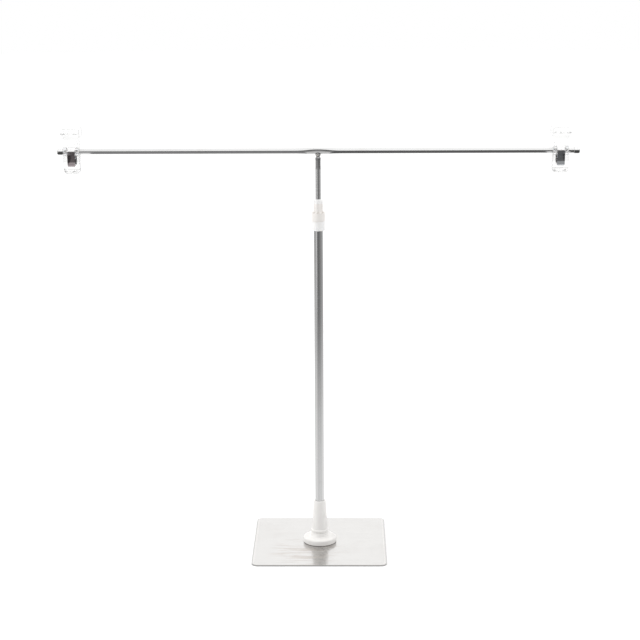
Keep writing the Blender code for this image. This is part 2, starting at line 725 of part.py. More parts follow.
def build_end_cap(side, direction, pan_axis):
    """Rounded cap pushed over one end of the crossbar."""
    end = BAR_SPAN / 2
    mouth = end - CAP_LENGTH
    floor = end - CAP_END_WALL
    cap_radius = BAR_FIT_RADIUS + CAP_WALL
    profile = rounded(
        [
            (0, end),
            (cap_radius, end, CAP_ROUNDING),
            (cap_radius, mouth, FINE_EDGE_RADIUS),
            (BAR_FIT_RADIUS, mouth),
            (BAR_FIT_RADIUS, floor),
            (0, floor),
        ],
        closed=False,
    )
    cap = turned(f"{side}_end_cap", profile, closed=False)
    cap.rotation_euler.y = direction * math.pi / 2
    cap.parent = pan_axis
    return finish(cap, "cap_chrome")


def jaw_side_outline():
    """Side outline of a jaw as (distance out from the clip's middle, height above the bar's axis)."""
    tip = TIP_GAP / 2
    throat = THROAT_WIDTH / 2
    grip_top = GRIP_LENGTH - CLIP_DROP
    lug_out = LUG_RADIUS * math.cos(LUG_ANGLE)
    lug_rise = LUG_RADIUS * math.sin(LUG_ANGLE)
    inner = [
        (tip, -CLIP_DROP),
        (tip, grip_top, INNER_BEND_RADIUS),
        (throat, -THROAT_LOW_DROP, INNER_BEND_RADIUS),
        (throat, -lug_rise - THROAT_TOP_STEP, INNER_BEND_RADIUS),
        (lug_out, -lug_rise),
    ]
    seat = arc_points(SEAT_RADIUS, -LUG_ANGLE, LUG_ANGLE, SEAT_STEPS)
    lever = [
        (lug_out, lug_rise),
        (SEAT_RADIUS, lug_rise + LEVER_ROOT_STEP, INNER_BEND_RADIUS),
        (LEVER_SPREAD, PAD_FOOT_RISE, CREASE_RADIUS),
        (PAD_SPREAD, CLIP_RISE),
    ]
    outer = [
        (PAD_SPREAD + JAW_THICKNESS, CLIP_RISE, PAD_EDGE_RADIUS),
        (LEVER_SPREAD + JAW_THICKNESS, PAD_FOOT_RISE, CREASE_RADIUS),
        (JAW_OUTER_RADIUS, MID_FOOT_RISE, BEND_RADIUS),
        (JAW_OUTER_RADIUS, -JAW_SHOULDER_DROP, BEND_RADIUS),
        (throat + JAW_THICKNESS, -THROAT_LOW_DROP, BEND_RADIUS),
        (tip + GRIP_THICKNESS, grip_top, CREASE_RADIUS),
        (tip + GRIP_THICKNESS, -CLIP_DROP, TIP_RADIUS),
    ]
    return rounded(inner + seat + lever + outer)


def jaw_face_outline():
    """Face outline of a jaw: broad thumb pad, narrow waist, middle and jaw, as seen from the front."""
    right = [
        (JAW_WIDTH / 2, -CLIP_DROP, JAW_CORNER_RADIUS),
        (JAW_WIDTH / 2, -JAW_SHOULDER_DROP, BEND_RADIUS),
        (MID_WIDTH / 2, MID_FOOT_RISE, BEND_RADIUS),
        (MID_WIDTH / 2, MID_TOP_RISE, WAIST_RADIUS),
        (WAIST_WIDTH / 2, WAIST_RISE, WAIST_RADIUS),
        (PAD_WIDTH / 2, PAD_FOOT_RISE, WAIST_RADIUS),
        (PAD_WIDTH / 2, CLIP_RISE, PAD_CORNER_RADIUS),
    ]
    left = [(-x, z, radius) for x, z, radius in reversed(right)]
    return rounded(right + left)


def jaw_mesh():
    """Mesh of one jaw about the bar's axis, on the +Y side, with the spring's window through it."""
    reach = 2 * (PAD_SPREAD + JAW_THICKNESS)
    jaw = place("jaw", curve_mesh("jaw", jaw_side_outline(), PAD_WIDTH + OVERCUT, "YZX"))
    face = place("jaw_face", curve_mesh("jaw_face", jaw_face_outline(), 2 * reach, "XZY"))
    combine(jaw, face, "INTERSECT")
    half = SPRING_WIDTH / 2 + WINDOW_SIDE_ROOM
    window_top = SPRING_LOOP_RADIUS + WINDOW_HEADROOM
    combine(jaw, box("jaw_window", (-half, 0, WINDOW_FOOT_RISE), (half, reach, window_top)))
    return mesh_of(jaw)


def spring_mesh():
    """Mesh of the leaf spring: a loop over the sleeve, out through the windows and down both jaws."""
    stand_off = SPRING_THICKNESS / 2 + SPRING_CLEARANCE
    leg = JAW_OUTER_RADIUS + stand_off
    throat = THROAT_WIDTH / 2 + JAW_THICKNESS + stand_off
    grip = TIP_GAP / 2 + GRIP_THICKNESS + stand_off
    lip_top = SPRING_REACH - SPRING_LIP
    lip_share = (lip_top - THROAT_LOW_DROP) / (CLIP_DROP - GRIP_LENGTH - THROAT_LOW_DROP)
    lip = throat + (grip - throat) * lip_share
    loop = arc_points(SPRING_LOOP_RADIUS, SPRING_LOOP_ANGLE, math.pi - SPRING_LOOP_ANGLE, SEAT_STEPS)
    side = rounded(
        [
            loop[0],
            (leg, SPRING_LEG_TOP, SPRING_BEND_RADIUS),
            (leg, -JAW_SHOULDER_DROP, BEND_RADIUS),
            (throat, -THROAT_LOW_DROP, BEND_RADIUS),
            (lip, -lip_top, SPRING_BEND_RADIUS),
            (lip + SPRING_LIP_FLARE, -SPRING_REACH),
        ],
        closed=False,
    )
    mirrored = [(-y, z) for y, z in side]
    path = side[::-1] + loop[1:-1] + mirrored
    leaf = place("spring_leaf", curve_mesh("spring_leaf", path, SPRING_WIDTH, "YZX", closed=False))
    solid = leaf.modifiers.new("leaf", "SOLIDIFY")
    solid.thickness = SPRING_THICKNESS
    solid.offset = 0
    return mesh_of(leaf)


def build_sleeve(side, clip_axis):
    """Milky tube round the crossbar, on which the jaws seat."""
    half = SLEEVE_LENGTH / 2
    profile = [(SLEEVE_RADIUS, half), (SLEEVE_RADIUS, -half), (BAR_FIT_RADIUS, -half), (BAR_FIT_RADIUS, half)]
    sleeve = turned(f"{side}_rod_sleeve", profile)
    sleeve.rotation_euler.y = math.pi / 2
    sleeve.parent = clip_axis
    return finish(sleeve, "milky_plastic")


def build_clip(side, direction, jaw, spring, pan_axis):
    """One clip on the crossbar: its sleeve, two jaws back to back and the spring."""
    from_end = CAP_LENGTH + CLIP_STAND_OFFS[side] + SLEEVE_LENGTH / 2
    clip_place = (direction * (BAR_SPAN / 2 - from_end), 0, 0)
    clip_axis = place(f"{side}_clip_axis", None, clip_place, pan_axis)
    build_sleeve(side, clip_axis)
    finish(place(f"{side}_rear_jaw", jaw, parent=clip_axis), "clear_plastic")
    front = place(f"{side}_front_jaw", jaw, parent=clip_axis)
    front.rotation_euler.z = math.pi
    finish(front, "clear_plastic")
    finish(place(f"{side}_spring", spring, parent=clip_axis), "spring_steel")


def build_stand():
    """Build every piece of the stand, from the base upward."""
    build_base_plate()
    build_base_screw()
    build_socket_nut()
    build_base_socket()
    build_base_collet()
    build_base_cone_nut()
    build_lower_tube()
    build_lock_body()
    build_lock_collet()
    build_lock_nut()
    build_upper_rod()
    build_rod_guide()
    pan_axis = place("pan_axis", None, (0, 0, BAR_HEIGHT))
    build_crossbar(pan_axis)
    build_tee_weld()
    jaw = jaw_mesh()
    spring = spring_mesh()
    for side, direction in (("left", -1), ("right", 1)):
        build_end_cap(side, direction, pan_axis)
        build_clip(side, direction, jaw, spring, pan_axis)


build_stand()
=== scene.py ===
"""Looks, studio and camera of a tabletop backdrop stand.

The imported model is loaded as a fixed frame. Each class below rebuilds one sub-assembly as fine meshes at
its own place in that frame, and dresses it. Metres, +Z up, the crossbar along X, the front towards -Y.
"""

import logging
import math
from collections.abc import Callable, Sequence
from dataclasses import dataclass
from enum import Enum

import bmesh
import bpy
import numpy as np
from mathutils import Matrix, Quaternion, Vector, noise


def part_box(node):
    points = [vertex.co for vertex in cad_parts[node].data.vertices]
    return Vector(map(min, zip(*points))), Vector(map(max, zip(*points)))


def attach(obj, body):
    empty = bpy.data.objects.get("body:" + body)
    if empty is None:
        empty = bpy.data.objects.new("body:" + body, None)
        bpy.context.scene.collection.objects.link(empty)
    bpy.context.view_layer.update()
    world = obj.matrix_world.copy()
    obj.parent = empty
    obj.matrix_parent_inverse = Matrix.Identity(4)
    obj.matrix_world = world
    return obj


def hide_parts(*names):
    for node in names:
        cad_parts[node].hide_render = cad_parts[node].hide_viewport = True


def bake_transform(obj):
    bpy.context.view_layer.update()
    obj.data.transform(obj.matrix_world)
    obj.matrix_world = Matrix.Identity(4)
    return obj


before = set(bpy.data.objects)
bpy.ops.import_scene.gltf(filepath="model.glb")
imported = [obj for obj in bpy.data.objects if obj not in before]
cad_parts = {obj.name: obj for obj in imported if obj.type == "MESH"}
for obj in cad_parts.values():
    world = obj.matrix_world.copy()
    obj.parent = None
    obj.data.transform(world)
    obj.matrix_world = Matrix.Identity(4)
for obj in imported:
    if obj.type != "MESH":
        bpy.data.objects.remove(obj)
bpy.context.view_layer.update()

log = logging.getLogger("backdrop_stand")

Point = tuple[float, float]
Corner = tuple[float, float, float]
Triple = tuple[float, float, float]
Socket = bpy.types.NodeSocket
Value = float | Triple | Socket

BAR_HEIGHT = 0.5403
CLEARANCE = 0.0003
ROUND_SEGMENTS = 96
CORNER_STEPS = 6
MERGE_DISTANCE = 1e-7
SMOOTH_ANGLE = math.radians(38)
PLASTIC_IOR = 1.49
SOFT_CONTRAST = (0.35, 0.65)
PLAIN_CONTRAST = (0.3, 0.7)
WHITE = (1.0, 1.0, 1.0)


class Side(Enum):
    """The two halves of the crossbar. The value is the half's direction along X."""

    LEFT = -1
    RIGHT = 1

    @property
    def label(self) -> str:
        """Prefix of the names of this side's bodies, nodes and pieces."""
        return self.name.lower()


class Lay(Enum):
    """Direction of the fine lines of a metal. The value is the noise's scale along X, Y and Z."""

    ALONG_X = (6.0, 2600.0, 2600.0)
    ALONG_Z = (2600.0, 2600.0, 6.0)
    AROUND_Z = (60.0, 60.0, 3200.0)
    AROUND_X = (3200.0, 60.0, 60.0)


# Node helpers


class Tree:
    """Adds, sets and links the nodes of one node tree."""

    def __init__(self, tree: bpy.types.NodeTree) -> None:
        """Keep the node tree to work on."""
        self.tree = tree

    def add(self, kind: str, **settings: object) -> bpy.types.Node:
        """New node with its settings.

        Args:
            kind: the node's type name.
            settings: attributes of the node and their values.

        Returns:
            The node.
        """
        node = self.tree.nodes.new(kind)
        for name, value in settings.items():
            setattr(node, name, value)
        return node

    def feed(self, target: Socket, value: Value) -> None:
        """Link a socket to another, or set its own value.

        Args:
            target: the input socket.
            value: an output socket, a number, or a triple for a colour or a vector.
        """
        if isinstance(value, Socket):
            self.tree.links.new(value, target)
        elif isinstance(value, tuple) and target.type == "RGBA":
            target.default_value = (*value, 1.0)
        else:
            target.default_value = value

    def work_out(self, kind: str, operation: str, values: Sequence[Value]) -> bpy.types.Node:
        """Node that works a result out of some values.

        Args:
            kind: the node's type name.
            operation: the node's operation.
            values: numbers, triples or sockets, in order.

        Returns:
            The node.
        """
        node = self.add(kind, operation=operation)
        for target, value in zip(node.inputs, values):
            self.feed(target, value)
        return node

    def math(self, operation: str, *values: Value) -> Socket:
        """Result of a Math node on one to three values."""
        return self.work_out("ShaderNodeMath", operation, values).outputs[0]

    def product(self, first: Value, second: Value) -> Socket:
        """Product of two values."""
        return self.math("MULTIPLY", first, second)

    def vector(self, operation: str, *values: Value) -> Socket:
        """Result of a Vector Math node, which is a number for a length or a distance."""
        outputs = self.work_out("ShaderNodeVectorMath", operation, values).outputs
        return outputs["Value" if operation in ("LENGTH", "DISTANCE") else "Vector"]

    def parts(self, vector: Socket) -> Sequence[Socket]:
        """The X, Y and Z of a vector."""
        node = self.add("ShaderNodeSeparateXYZ")
        self.feed(node.inputs[0], vector)
        return node.outputs

    def spread(
        self, value: Value, low: Value, high: Value, start: Value = 0.0, stop: Value = 1.0
    ) -> Socket:
        """Smooth step of a value between two limits, spread over a new range.

        Args:
            value: the value to spread.
            low: the value at which the result is start.
            high: the value at which the result is stop.
            start: first end of the new range.
            stop: other end of the new range.

        Returns:
            The result's socket.
        """
        node = self.add("ShaderNodeMapRange", interpolation_type="SMOOTHSTEP")
        names = ("Value", "From Min", "From Max", "To Min", "To Max")
        for name, given in zip(names, (value, low, high, start, stop)):
            self.feed(node.inputs[name], given)
        return node.outputs["Result"]

    def mix(self, share: Value, first: Value, second: Value, mode: str = "MIX") -> Socket:
        """Mix of two colours.

        Args:
            share: share of the second colour.
            first: first colour.
            second: second colour.
            mode: blend mode.

        Returns:
            The mixed colour's socket.
        """
        node = self.add("ShaderNodeMix", data_type="RGBA", blend_type=mode)
        for place, given in ((0, share), (6, first), (7, second)):
            self.feed(node.inputs[place], given)
        return node.outputs[2]

    def noise(
        self, place: Socket, scale: Value, detail: float = 3.0, roughness: float = 0.55
    ) -> Socket:
        """Noise texture.

        Args:
            place: coordinates.
            scale: the noise's scale.
            detail: number of octaves.
            roughness: weight of the finer octaves.

        Returns:
            The noise's value, from 0 to 1.
        """
        node = self.add("ShaderNodeTexNoise")
        names = ("Vector", "Scale", "Detail", "Roughness")
        for name, given in zip(names, (place, scale, detail, roughness)):
            self.feed(node.inputs[name], given)
        return node.outputs[0]

    def bump(self, height: Socket, distance: float, under: Socket | None = None) -> Socket:
        """Normal of a relief.

        Args:
            height: height, from 0 to 1.
            distance: depth in metres of a height of 1.
            under: normal of the relief on which this one lies, if any.

        Returns:
            The normal's socket.
        """
        node = self.add("ShaderNodeBump")
        self.feed(node.inputs["Strength"], 1.0)
        self.feed(node.inputs["Distance"], distance)
        self.feed(node.inputs["Height"], height)
        if under is not None:
            self.feed(node.inputs["Normal"], under)
        return node.outputs[0]

    def glow(self, strength: Value) -> Socket:
        """White light of a strength."""
        node = self.add("ShaderNodeEmission")
        self.feed(node.inputs["Strength"], strength)
        return node.outputs[0]


def own_place(tree: Tree) -> Socket:
    """Coordinates fixed to the piece."""
    return tree.add("ShaderNodeTexCoord").outputs["Object"]


def fed(shader: bpy.types.Node, name: str) -> Socket:
    """What feeds one of a shader's inputs so far."""
    return shader.inputs[name].links[0].from_socket


# Shared effects

Wiring = Callable[[Tree, dict[str, Socket]], dict[str, Socket]]


@dataclass(frozen=True)
class Effect:
    """A surface effect kept as one shader node group, built once and placed in each material.

    Attributes:
        name: the group's name.
        inputs: default value of each named input.
        wire: adds the group's nodes to a tree, fed by its inputs, and returns its named outputs.
    """

    name: str
    inputs: dict[str, float | Triple]
    wire: Wiring

    def group(self) -> bpy.types.NodeTree:
        """The effect's node group, built at its first use.

        Returns:
            The node group.
        """
        if self.name in bpy.data.node_groups:
            return bpy.data.node_groups[self.name]
        group = bpy.data.node_groups.new(self.name, "ShaderNodeTree")
        for name, value in self.inputs.items():
            kind = "NodeSocketVector" if isinstance(value, tuple) else "NodeSocketFloat"
            group.interface.new_socket(name, in_out="INPUT", socket_type=kind).default_value = value
        tree = Tree(group)
        entry = tree.add("NodeGroupInput")
        results = self.wire(tree, {name: entry.outputs[name] for name in self.inputs})
        for name in results:
            group.interface.new_socket(name, in_out="OUTPUT", socket_type="NodeSocketFloat")
        leave = tree.add("NodeGroupOutput")
        for name, socket in results.items():
            tree.feed(leave.inputs[name], socket)
        return group

    def place(self, tree: Tree, **values: float | Triple) -> dict[str, Socket]:
        """Put the effect into a material.

        Args:
            tree: the material's tree.
            values: this material's values of the named inputs.

        Returns:
            The effect's outputs by name.
        """
        node = tree.add("ShaderNodeGroup", node_tree=self.group(), label=self.name)
        for name, value in values.items():
            tree.feed(node.inputs[name], value)
        return {socket.name: socket for socket in node.outputs}


def wire_lines(tree: Tree, given: dict[str, Socket]) -> dict[str, Socket]:
    """Fine drawn or brushed lines, and broader streaks that run the same way."""
    stretched = tree.vector("MULTIPLY", own_place(tree), given["Stretch"])
    broad = tree.vector("MULTIPLY", stretched, (0.12, 0.12, 0.12))
    return {
        "Lines": tree.noise(stretched, 1.0, 4.0, 0.7),
        "Streaks": tree.noise(broad, 1.0, 3.0, 0.5),
    }


def wire_patches(tree: Tree, given: dict[str, Socket]) -> dict[str, Socket]:
    """Soft uneven patches, such as handling marks and faint staining."""
    shifted = tree.vector("ADD", own_place(tree), given["Shift"])
    cloud = tree.noise(shifted, given["Scale"], 5.0, 0.6)
    return {"Mask": tree.spread(cloud, given["Low"], given["High"])}


def wire_scratches(tree: Tree, given: dict[str, Socket]) -> dict[str, Socket]:
    """Hair scratches in two directions, kept to some places."""
    place = own_place(tree)
    hairs = []
    for turn, stretch in ((0.35, (1.0, 0.06, 1.0)), (-0.9, (0.06, 1.0, 1.0))):
        rotated = tree.add("ShaderNodeVectorRotate", rotation_type="EULER_XYZ")
        tree.feed(rotated.inputs["Vector"], place)
        tree.feed(rotated.inputs["Rotation"], (turn, turn, turn))
        stretched = tree.vector("MULTIPLY", rotated.outputs[0], stretch)
        cloud = tree.noise(stretched, given["Scale"], 1.0, 0.4)
        away = tree.math("ABSOLUTE", tree.math("SUBTRACT", cloud, 0.5))
        hairs.append(tree.spread(away, 0.0, given["Width"], 1.0, 0.0))
    some = tree.spread(tree.noise(place, tree.product(given["Scale"], 0.2), 2.0), 0.48, 0.62)
    return {"Mask": tree.product(tree.math("MAXIMUM", *hairs), some)}


def wire_edges(tree: Tree, given: dict[str, Socket]) -> dict[str, Socket]:
    """Rubbed outer edges, and a mask of the inner corners."""
    pointed = tree.add("ShaderNodeNewGeometry").outputs["Pointiness"]
    cloud = tree.noise(own_place(tree), given["Scale"], 4.0, 0.6)
    breakup = tree.spread(cloud, 0.3, 0.65, 0.35, 1.0)
    above = tree.math("ADD", given["Reach"], 0.5)
    below = tree.math("SUBTRACT", 0.5, given["Reach"])
    return {
        "Rubbed": tree.product(tree.spread(pointed, 0.503, above), breakup),
        "Corners": tree.product(tree.spread(pointed, 0.497, below), breakup),
    }


def wire_skin(tree: Tree, given: dict[str, Socket]) -> dict[str, Socket]:
    """Skin of a moulding: fine peel on soft sink marks, and faint flow clouds."""
    place = own_place(tree)
    fine = tree.noise(place, given["Scale"], 2.0, 0.5)
    sink = tree.noise(place, tree.product(given["Scale"], 0.06), 2.0, 0.5)
    height = tree.math("MULTIPLY_ADD", sink, 3.0, tree.product(fine, given["Peel"]))
    clouds = tree.noise(place, tree.product(given["Scale"], 0.02), 4.0, 0.6)
    return {"Height": height, "Clouds": clouds}


def wire_dust(tree: Tree, given: dict[str, Socket]) -> dict[str, Socket]:
    """Thin dust that has settled on faces that look up."""
    facing = tree.parts(tree.add("ShaderNodeNewGeometry").outputs["Normal"])[2]
    cloud = tree.noise(own_place(tree), given["Scale"], 5.0, 0.65)
    return {"Mask": tree.product(tree.spread(facing, 0.55, 0.98), tree.spread(cloud, 0.35, 0.7))}


LINES = Effect("drawn_lines", {"Stretch": Lay.ALONG_X.value}, wire_lines)
PATCHES = Effect(
    "soft_patches",
    {"Scale": 30.0, "Low": 0.45, "High": 0.7, "Shift": (0.0, 0.0, 0.0)},
    wire_patches,
)
SCRATCHES = Effect("hair_scratches", {"Scale": 90.0, "Width": 0.012}, wire_scratches)
EDGES = Effect("edge_wear", {"Scale": 120.0, "Reach": 0.06}, wire_edges)
SKIN = Effect("moulded_skin", {"Scale": 2200.0, "Peel": 0.5}, wire_skin)
DUST = Effect("settled_dust", {"Scale": 60.0}, wire_dust)


# Finishes


@dataclass(frozen=True)
class Finish:
    """A finish of some pieces.

    Attributes:
        name: the material's name.
        slot: the record's material slot that it belongs to; not used.
    """

    name: str
    slot: str

    def material(self) -> bpy.types.Material:
        """The finish's material, built at its first use.

        Returns:
            The material.
        """
        if self.name in bpy.data.materials:
            return bpy.data.materials[self.name]
        made = bpy.data.materials.new(self.name)
        made.use_nodes = True
        self.wire(Tree(made.node_tree), made.node_tree.nodes["Principled BSDF"])
        return made

    def wire(self, tree: Tree, shader: bpy.types.Node) -> None:
        """Add the nodes that feed the shader.

        Args:
            tree: the material's tree.
            shader: its Principled BSDF.
        """
        raise NotImplementedError


@dataclass(frozen=True)
class DrawnSteel(Finish):
    """Polished or brushed steel with the fine lines of drawing or brushing.

    Attributes:
        lay: direction of the lines.
        colour: reflectance of the metal.
        stain: colour of the handling marks.
        gloss: roughness of the smoothest and of the dullest places.
        relief: depth of the lines in metres.
        patch_scale: scale of the handling marks.
        stain_share: strength of the handling marks.
        streak: share of the reflectance that is left in the dull streaks.
        rubbed_gain: how much brighter a rubbed edge is.
        hazes: roughness that the handling marks and the scratches add.
        hair_depth: depth of the scratches, as a share of the relief.
    """

    lay: Lay = Lay.ALONG_X
    colour: Triple = (0.72, 0.72, 0.73)
    stain: Triple = (0.58, 0.56, 0.54)
    gloss: Point = (0.1, 0.2)
    relief: float = 0.000006
    patch_scale: float = 40.0
    stain_share: float = 0.25
    streak: float = 0.9
    rubbed_gain: float = 1.08
    hazes: Point = (0.06, 0.08)
    hair_depth: float = 0.8

    def wire(self, tree: Tree, shader: bpy.types.Node) -> None:
        """Lines in colour, gloss and relief; handling marks; hair scratches; edges rubbed bright."""
        lines = LINES.place(tree, Stretch=self.lay.value)
        marks = PATCHES.place(tree, Scale=self.patch_scale, Low=0.48, High=0.75)
        hairs = SCRATCHES.place(tree, Scale=self.patch_scale * 3.0)
        edges = EDGES.place(tree, Scale=self.patch_scale * 4.0)
        dull = tuple(part * self.streak for part in self.colour)
        bright = tuple(min(1.0, part * self.rubbed_gain) for part in self.colour)
        drawn = tree.mix(tree.spread(lines["Streaks"], *SOFT_CONTRAST), dull, self.colour)
        stained = tree.mix(tree.product(marks["Mask"], self.stain_share), drawn, self.stain)
        tree.feed(shader.inputs["Base Color"], tree.mix(edges["Rubbed"], stained, bright))
        rough = tree.spread(lines["Lines"], *PLAIN_CONTRAST, *self.gloss)
        for effect, haze in zip((marks, hairs), self.hazes):
            rough = tree.math("MULTIPLY_ADD", effect["Mask"], haze, rough)
        tree.feed(shader.inputs["Roughness"], rough)
        height = tree.math("MULTIPLY_ADD", hairs["Mask"], -self.hair_depth, lines["Lines"])
        tree.feed(shader.inputs["Normal"], tree.bump(height, self.relief))
        shader.inputs["Metallic"].default_value = 1.0


@dataclass(frozen=True)
class BrushedSheet(DrawnSteel):
    """Brushed stainless sheet, slightly uneven, with a stamped edge.

    Attributes:
        unevenness: depth in metres of the sheet's gentle waves.
        half_side: half of the sheet's side.
        corner_radius: radius of its corners.
        rim: share of the reflectance in the band inside the edge, raised as a painted highlight, and in the
            edge itself, lowered as painted shade.
        edge_light_widths: distance from the edge to the end of its own band, and of the highlight band.
        edge_light_fades: where each of these two ends fades, measured outwards from it.
        dust: colour of the dust.
        dust_share: strength of the dust.
        shade_colour: colour of the painted shade in front of the socket, in long, narrow streaks.
        shade_share: strength of the painted shade.
        shade_haze: roughness that it adds.
        shade_place: middle of the painted shade.
        shade_reaches: distances from it at which it starts and is full.
        shade_stretch: scale of its streaks along X, Y and Z.
    """

    unevenness: float = 0.00004
    half_side: float = 0.09
    corner_radius: float = 0.0085
    rim: Point = (1.05, 0.76)
    edge_light_widths: Point = (0.0013, 0.0032)
    edge_light_fades: tuple[Point, Point] = ((-0.0003, 0.0004), (-0.0008, 0.0004))
    dust: Triple = (0.62, 0.61, 0.6)
    dust_share: float = 0.12
    shade_colour: Triple = (0.47, 0.425, 0.39)
    shade_share: float = 0.55
    shade_haze: float = 0.16
    shade_place: Triple = (-0.018, -0.04, 0.0)
    shade_reaches: Point = (0.062, 0.0248)
    shade_stretch: Triple = (180.0, 1500.0, 180.0)

    def wire(self, tree: Tree, shader: bpy.types.Node) -> None:
        """Brush lines, gentle waves of the sheet, thin dust, painted shade in front of the socket, and a
        painted highlight and painted shade along the border.
        """
        super().wire(tree, shader)
        lines = LINES.place(tree, Stretch=self.lay.value)
        waves = PATCHES.place(tree, Scale=9.0, Low=0.2, High=0.8)
        dust = DUST.place(tree, Scale=45.0)
        painted_shade = self.painted_shade(tree)
        drawn, rough = fed(shader, "Base Color"), fed(shader, "Roughness")
        dusty = tree.mix(tree.product(dust["Mask"], self.dust_share), drawn, self.dust)
        # Painted shade: the sheet darkens in long streaks in front of the socket.
        shaded = tree.mix(tree.product(painted_shade, self.shade_share), dusty, self.shade_colour)
        # Painted highlight in a band inside the border, and painted shade on the edge itself.
        edge_lit = tree.mix(1.0, shaded, self.painted_edge_light(tree), "MULTIPLY")
        tree.feed(shader.inputs["Base Color"], edge_lit)
        tree.feed(shader.inputs["Roughness"], tree.math("MULTIPLY_ADD", painted_shade, self.shade_haze, rough))
        brushed = tree.bump(lines["Lines"], self.relief)
        tree.feed(shader.inputs["Normal"], tree.bump(waves["Mask"], self.unevenness, brushed))

    def painted_shade(self, tree: Tree) -> Socket:
        """Strength of the painted shade in front of the socket, in long, narrow streaks.

        Args:
            tree: the material's tree.

        Returns:
            The strength's socket.
        """
        away = tree.vector("DISTANCE", own_place(tree), self.shade_place)
        near = tree.spread(away, *self.shade_reaches)
        streaks = LINES.place(tree, Stretch=self.shade_stretch)["Streaks"]
        return tree.product(near, tree.spread(streaks, 0.47, 0.6))

    def painted_edge_light(self, tree: Tree) -> Socket:
        """Brightness along the sheet's border: a band of painted highlight, then painted shade on the cut
        edge.

        Args:
            tree: the material's tree.

        Returns:
            The brightness's socket.
        """
        middle = self.half_side - self.corner_radius
        folded = tree.vector("ABSOLUTE", own_place(tree))
        beyond = tree.vector("SUBTRACT", folded, (middle, middle, 1.0))
        reach = tree.vector("LENGTH", tree.vector("MAXIMUM", beyond, (0.0, 0.0, 0.0)))
        cut, band = (
            [self.corner_radius - width + fade for fade in fades]
            for width, fades in zip(self.edge_light_widths, self.edge_light_fades)
        )
        # Painted highlight in the band, then painted shade on the edge.
        highlighted = tree.spread(reach, *band, 1.0, self.rim[0])
        return tree.spread(reach, *cut, highlighted, self.rim[1])


@dataclass(frozen=True)
class NeckShadedRod(DrawnSteel):
    """Rod whose upper end, over the stop bead and the neck, is darker as painted shade, and rougher.

    Attributes:
        neck_shade: share of the reflectance left at the upper end, as painted shade.
        neck_haze: roughness added at the upper end.
        neck_shade_span: heights between which the painted shade sets in.
    """

    neck_shade: float = 0.55
    neck_haze: float = 0.2
    neck_shade_span: Point = (0.5275, 0.529)

    def wire(self, tree: Tree, shader: bpy.types.Node) -> None:
        """Steel as drawn, darker towards the weld as painted shade, and rougher."""
        super().wire(tree, shader)
        drawn, rough = fed(shader, "Base Color"), fed(shader, "Roughness")
        share = tree.spread(tree.parts(own_place(tree))[2], *self.neck_shade_span)
        # Painted shade over the stop bead and the neck.
        level = tree.spread(share, 0.0, 1.0, 1.0, self.neck_shade)
        tree.feed(shader.inputs["Base Color"], tree.mix(1.0, drawn, level, "MULTIPLY"))
        tree.feed(shader.inputs["Roughness"], tree.math("MULTIPLY_ADD", share, self.neck_haze, rough))


@dataclass(frozen=True)
class WeldedSteel(DrawnSteel):
    """Weld metal and the heat-tinted steel round it.

    Attributes:
        straw: colour of the warmer heat bands.
        blue: colour of the colder heat bands.
        tint_share: strength of the heat bands.
        coarseness: depth of the weld's skin in metres.
    """

    straw: Triple = (0.74, 0.67, 0.55)
    blue: Triple = (0.52, 0.53, 0.6)
    tint_share: float = 0.5
    coarseness: float = 0.00002

    def wire(self, tree: Tree, shader: bpy.types.Node) -> None:
        """Steel as drawn, with heat bands in uneven patches and a coarser skin."""
        super().wire(tree, shader)
        warm = PATCHES.place(tree, Scale=420.0, Low=0.42, High=0.66)
        cold = PATCHES.place(tree, Scale=300.0, Low=0.5, High=0.72, Shift=(0.3, 0.1, 0.2))
        skin = SKIN.place(tree, Scale=1500.0, Peel=1.0)
        colour = fed(shader, "Base Color")
        for patches, tint in ((warm, self.straw), (cold, self.blue)):
            colour = tree.mix(tree.product(patches["Mask"], self.tint_share), colour, tint)
        tree.feed(shader.inputs["Base Color"], colour)
        tree.feed(shader.inputs["Normal"], tree.bump(skin["Height"], self.coarseness))


@dataclass(frozen=True)
class SpringLeaf(DrawnSteel):
    """Spring strip: darker steel with a temper film outside its legs, and painted light inside them and over
    the crossbar.

    Attributes:
        bloom: colour of the temper film where it is thickest.
        bloom_share: strength of that colour.
        painted_light: colour of the painted light inside the legs and over the crossbar.
        worn: colour of its worn edges.
        worn_share: strength of the wear.
        outer_leg_span: heights between which the steel's own colour sets in, from the painted light down.
    """

    bloom: Triple = (0.5, 0.48, 0.5)
    bloom_share: float = 0.7
    painted_light: Triple = (0.93, 0.92, 0.92)
    worn: Triple = (0.66, 0.66, 0.66)
    worn_share: float = 0.4
    outer_leg_span: Point = (0.5413, 0.5398)

    def wire(self, tree: Tree, shader: bpy.types.Node) -> None:
        """Steel with a temper film that shifts in colour, edges worn to plain metal, and painted light inside
        the legs and over the bar.
        """
        super().wire(tree, shader)
        film = PATCHES.place(tree, Scale=180.0, Low=0.35, High=0.65, Shift=(0.2, 0.5, 0.1))
        edges = EDGES.place(tree, Scale=600.0, Reach=0.12)
        bloomed = tree.product(film["Mask"], self.bloom_share)
        filmed = tree.mix(bloomed, fed(shader, "Base Color"), self.bloom)
        # Painted light: the strip turns bright inside its legs and over the crossbar.
        light_painted = tree.mix(self.outer_leg_share(tree), self.painted_light, filmed)
        worn = tree.product(edges["Rubbed"], self.worn_share)
        tree.feed(shader.inputs["Base Color"], tree.mix(worn, light_painted, self.worn))

    def outer_leg_share(self, tree: Tree) -> Socket:
        """Share of the steel's own colour: full outside the legs, none inside them and above the bar, where
        light is painted.

        Args:
            tree: the material's tree.

        Returns:
            The share's socket.
        """
        texture = tree.add("ShaderNodeTexCoord")
        _, depth, height = tree.parts(texture.outputs["Object"])
        outward = tree.product(depth, tree.parts(texture.outputs["Normal"])[1])
        outside = tree.spread(outward, -0.0005, 0.0005)
        return tree.product(outside, tree.spread(height, *self.outer_leg_span))


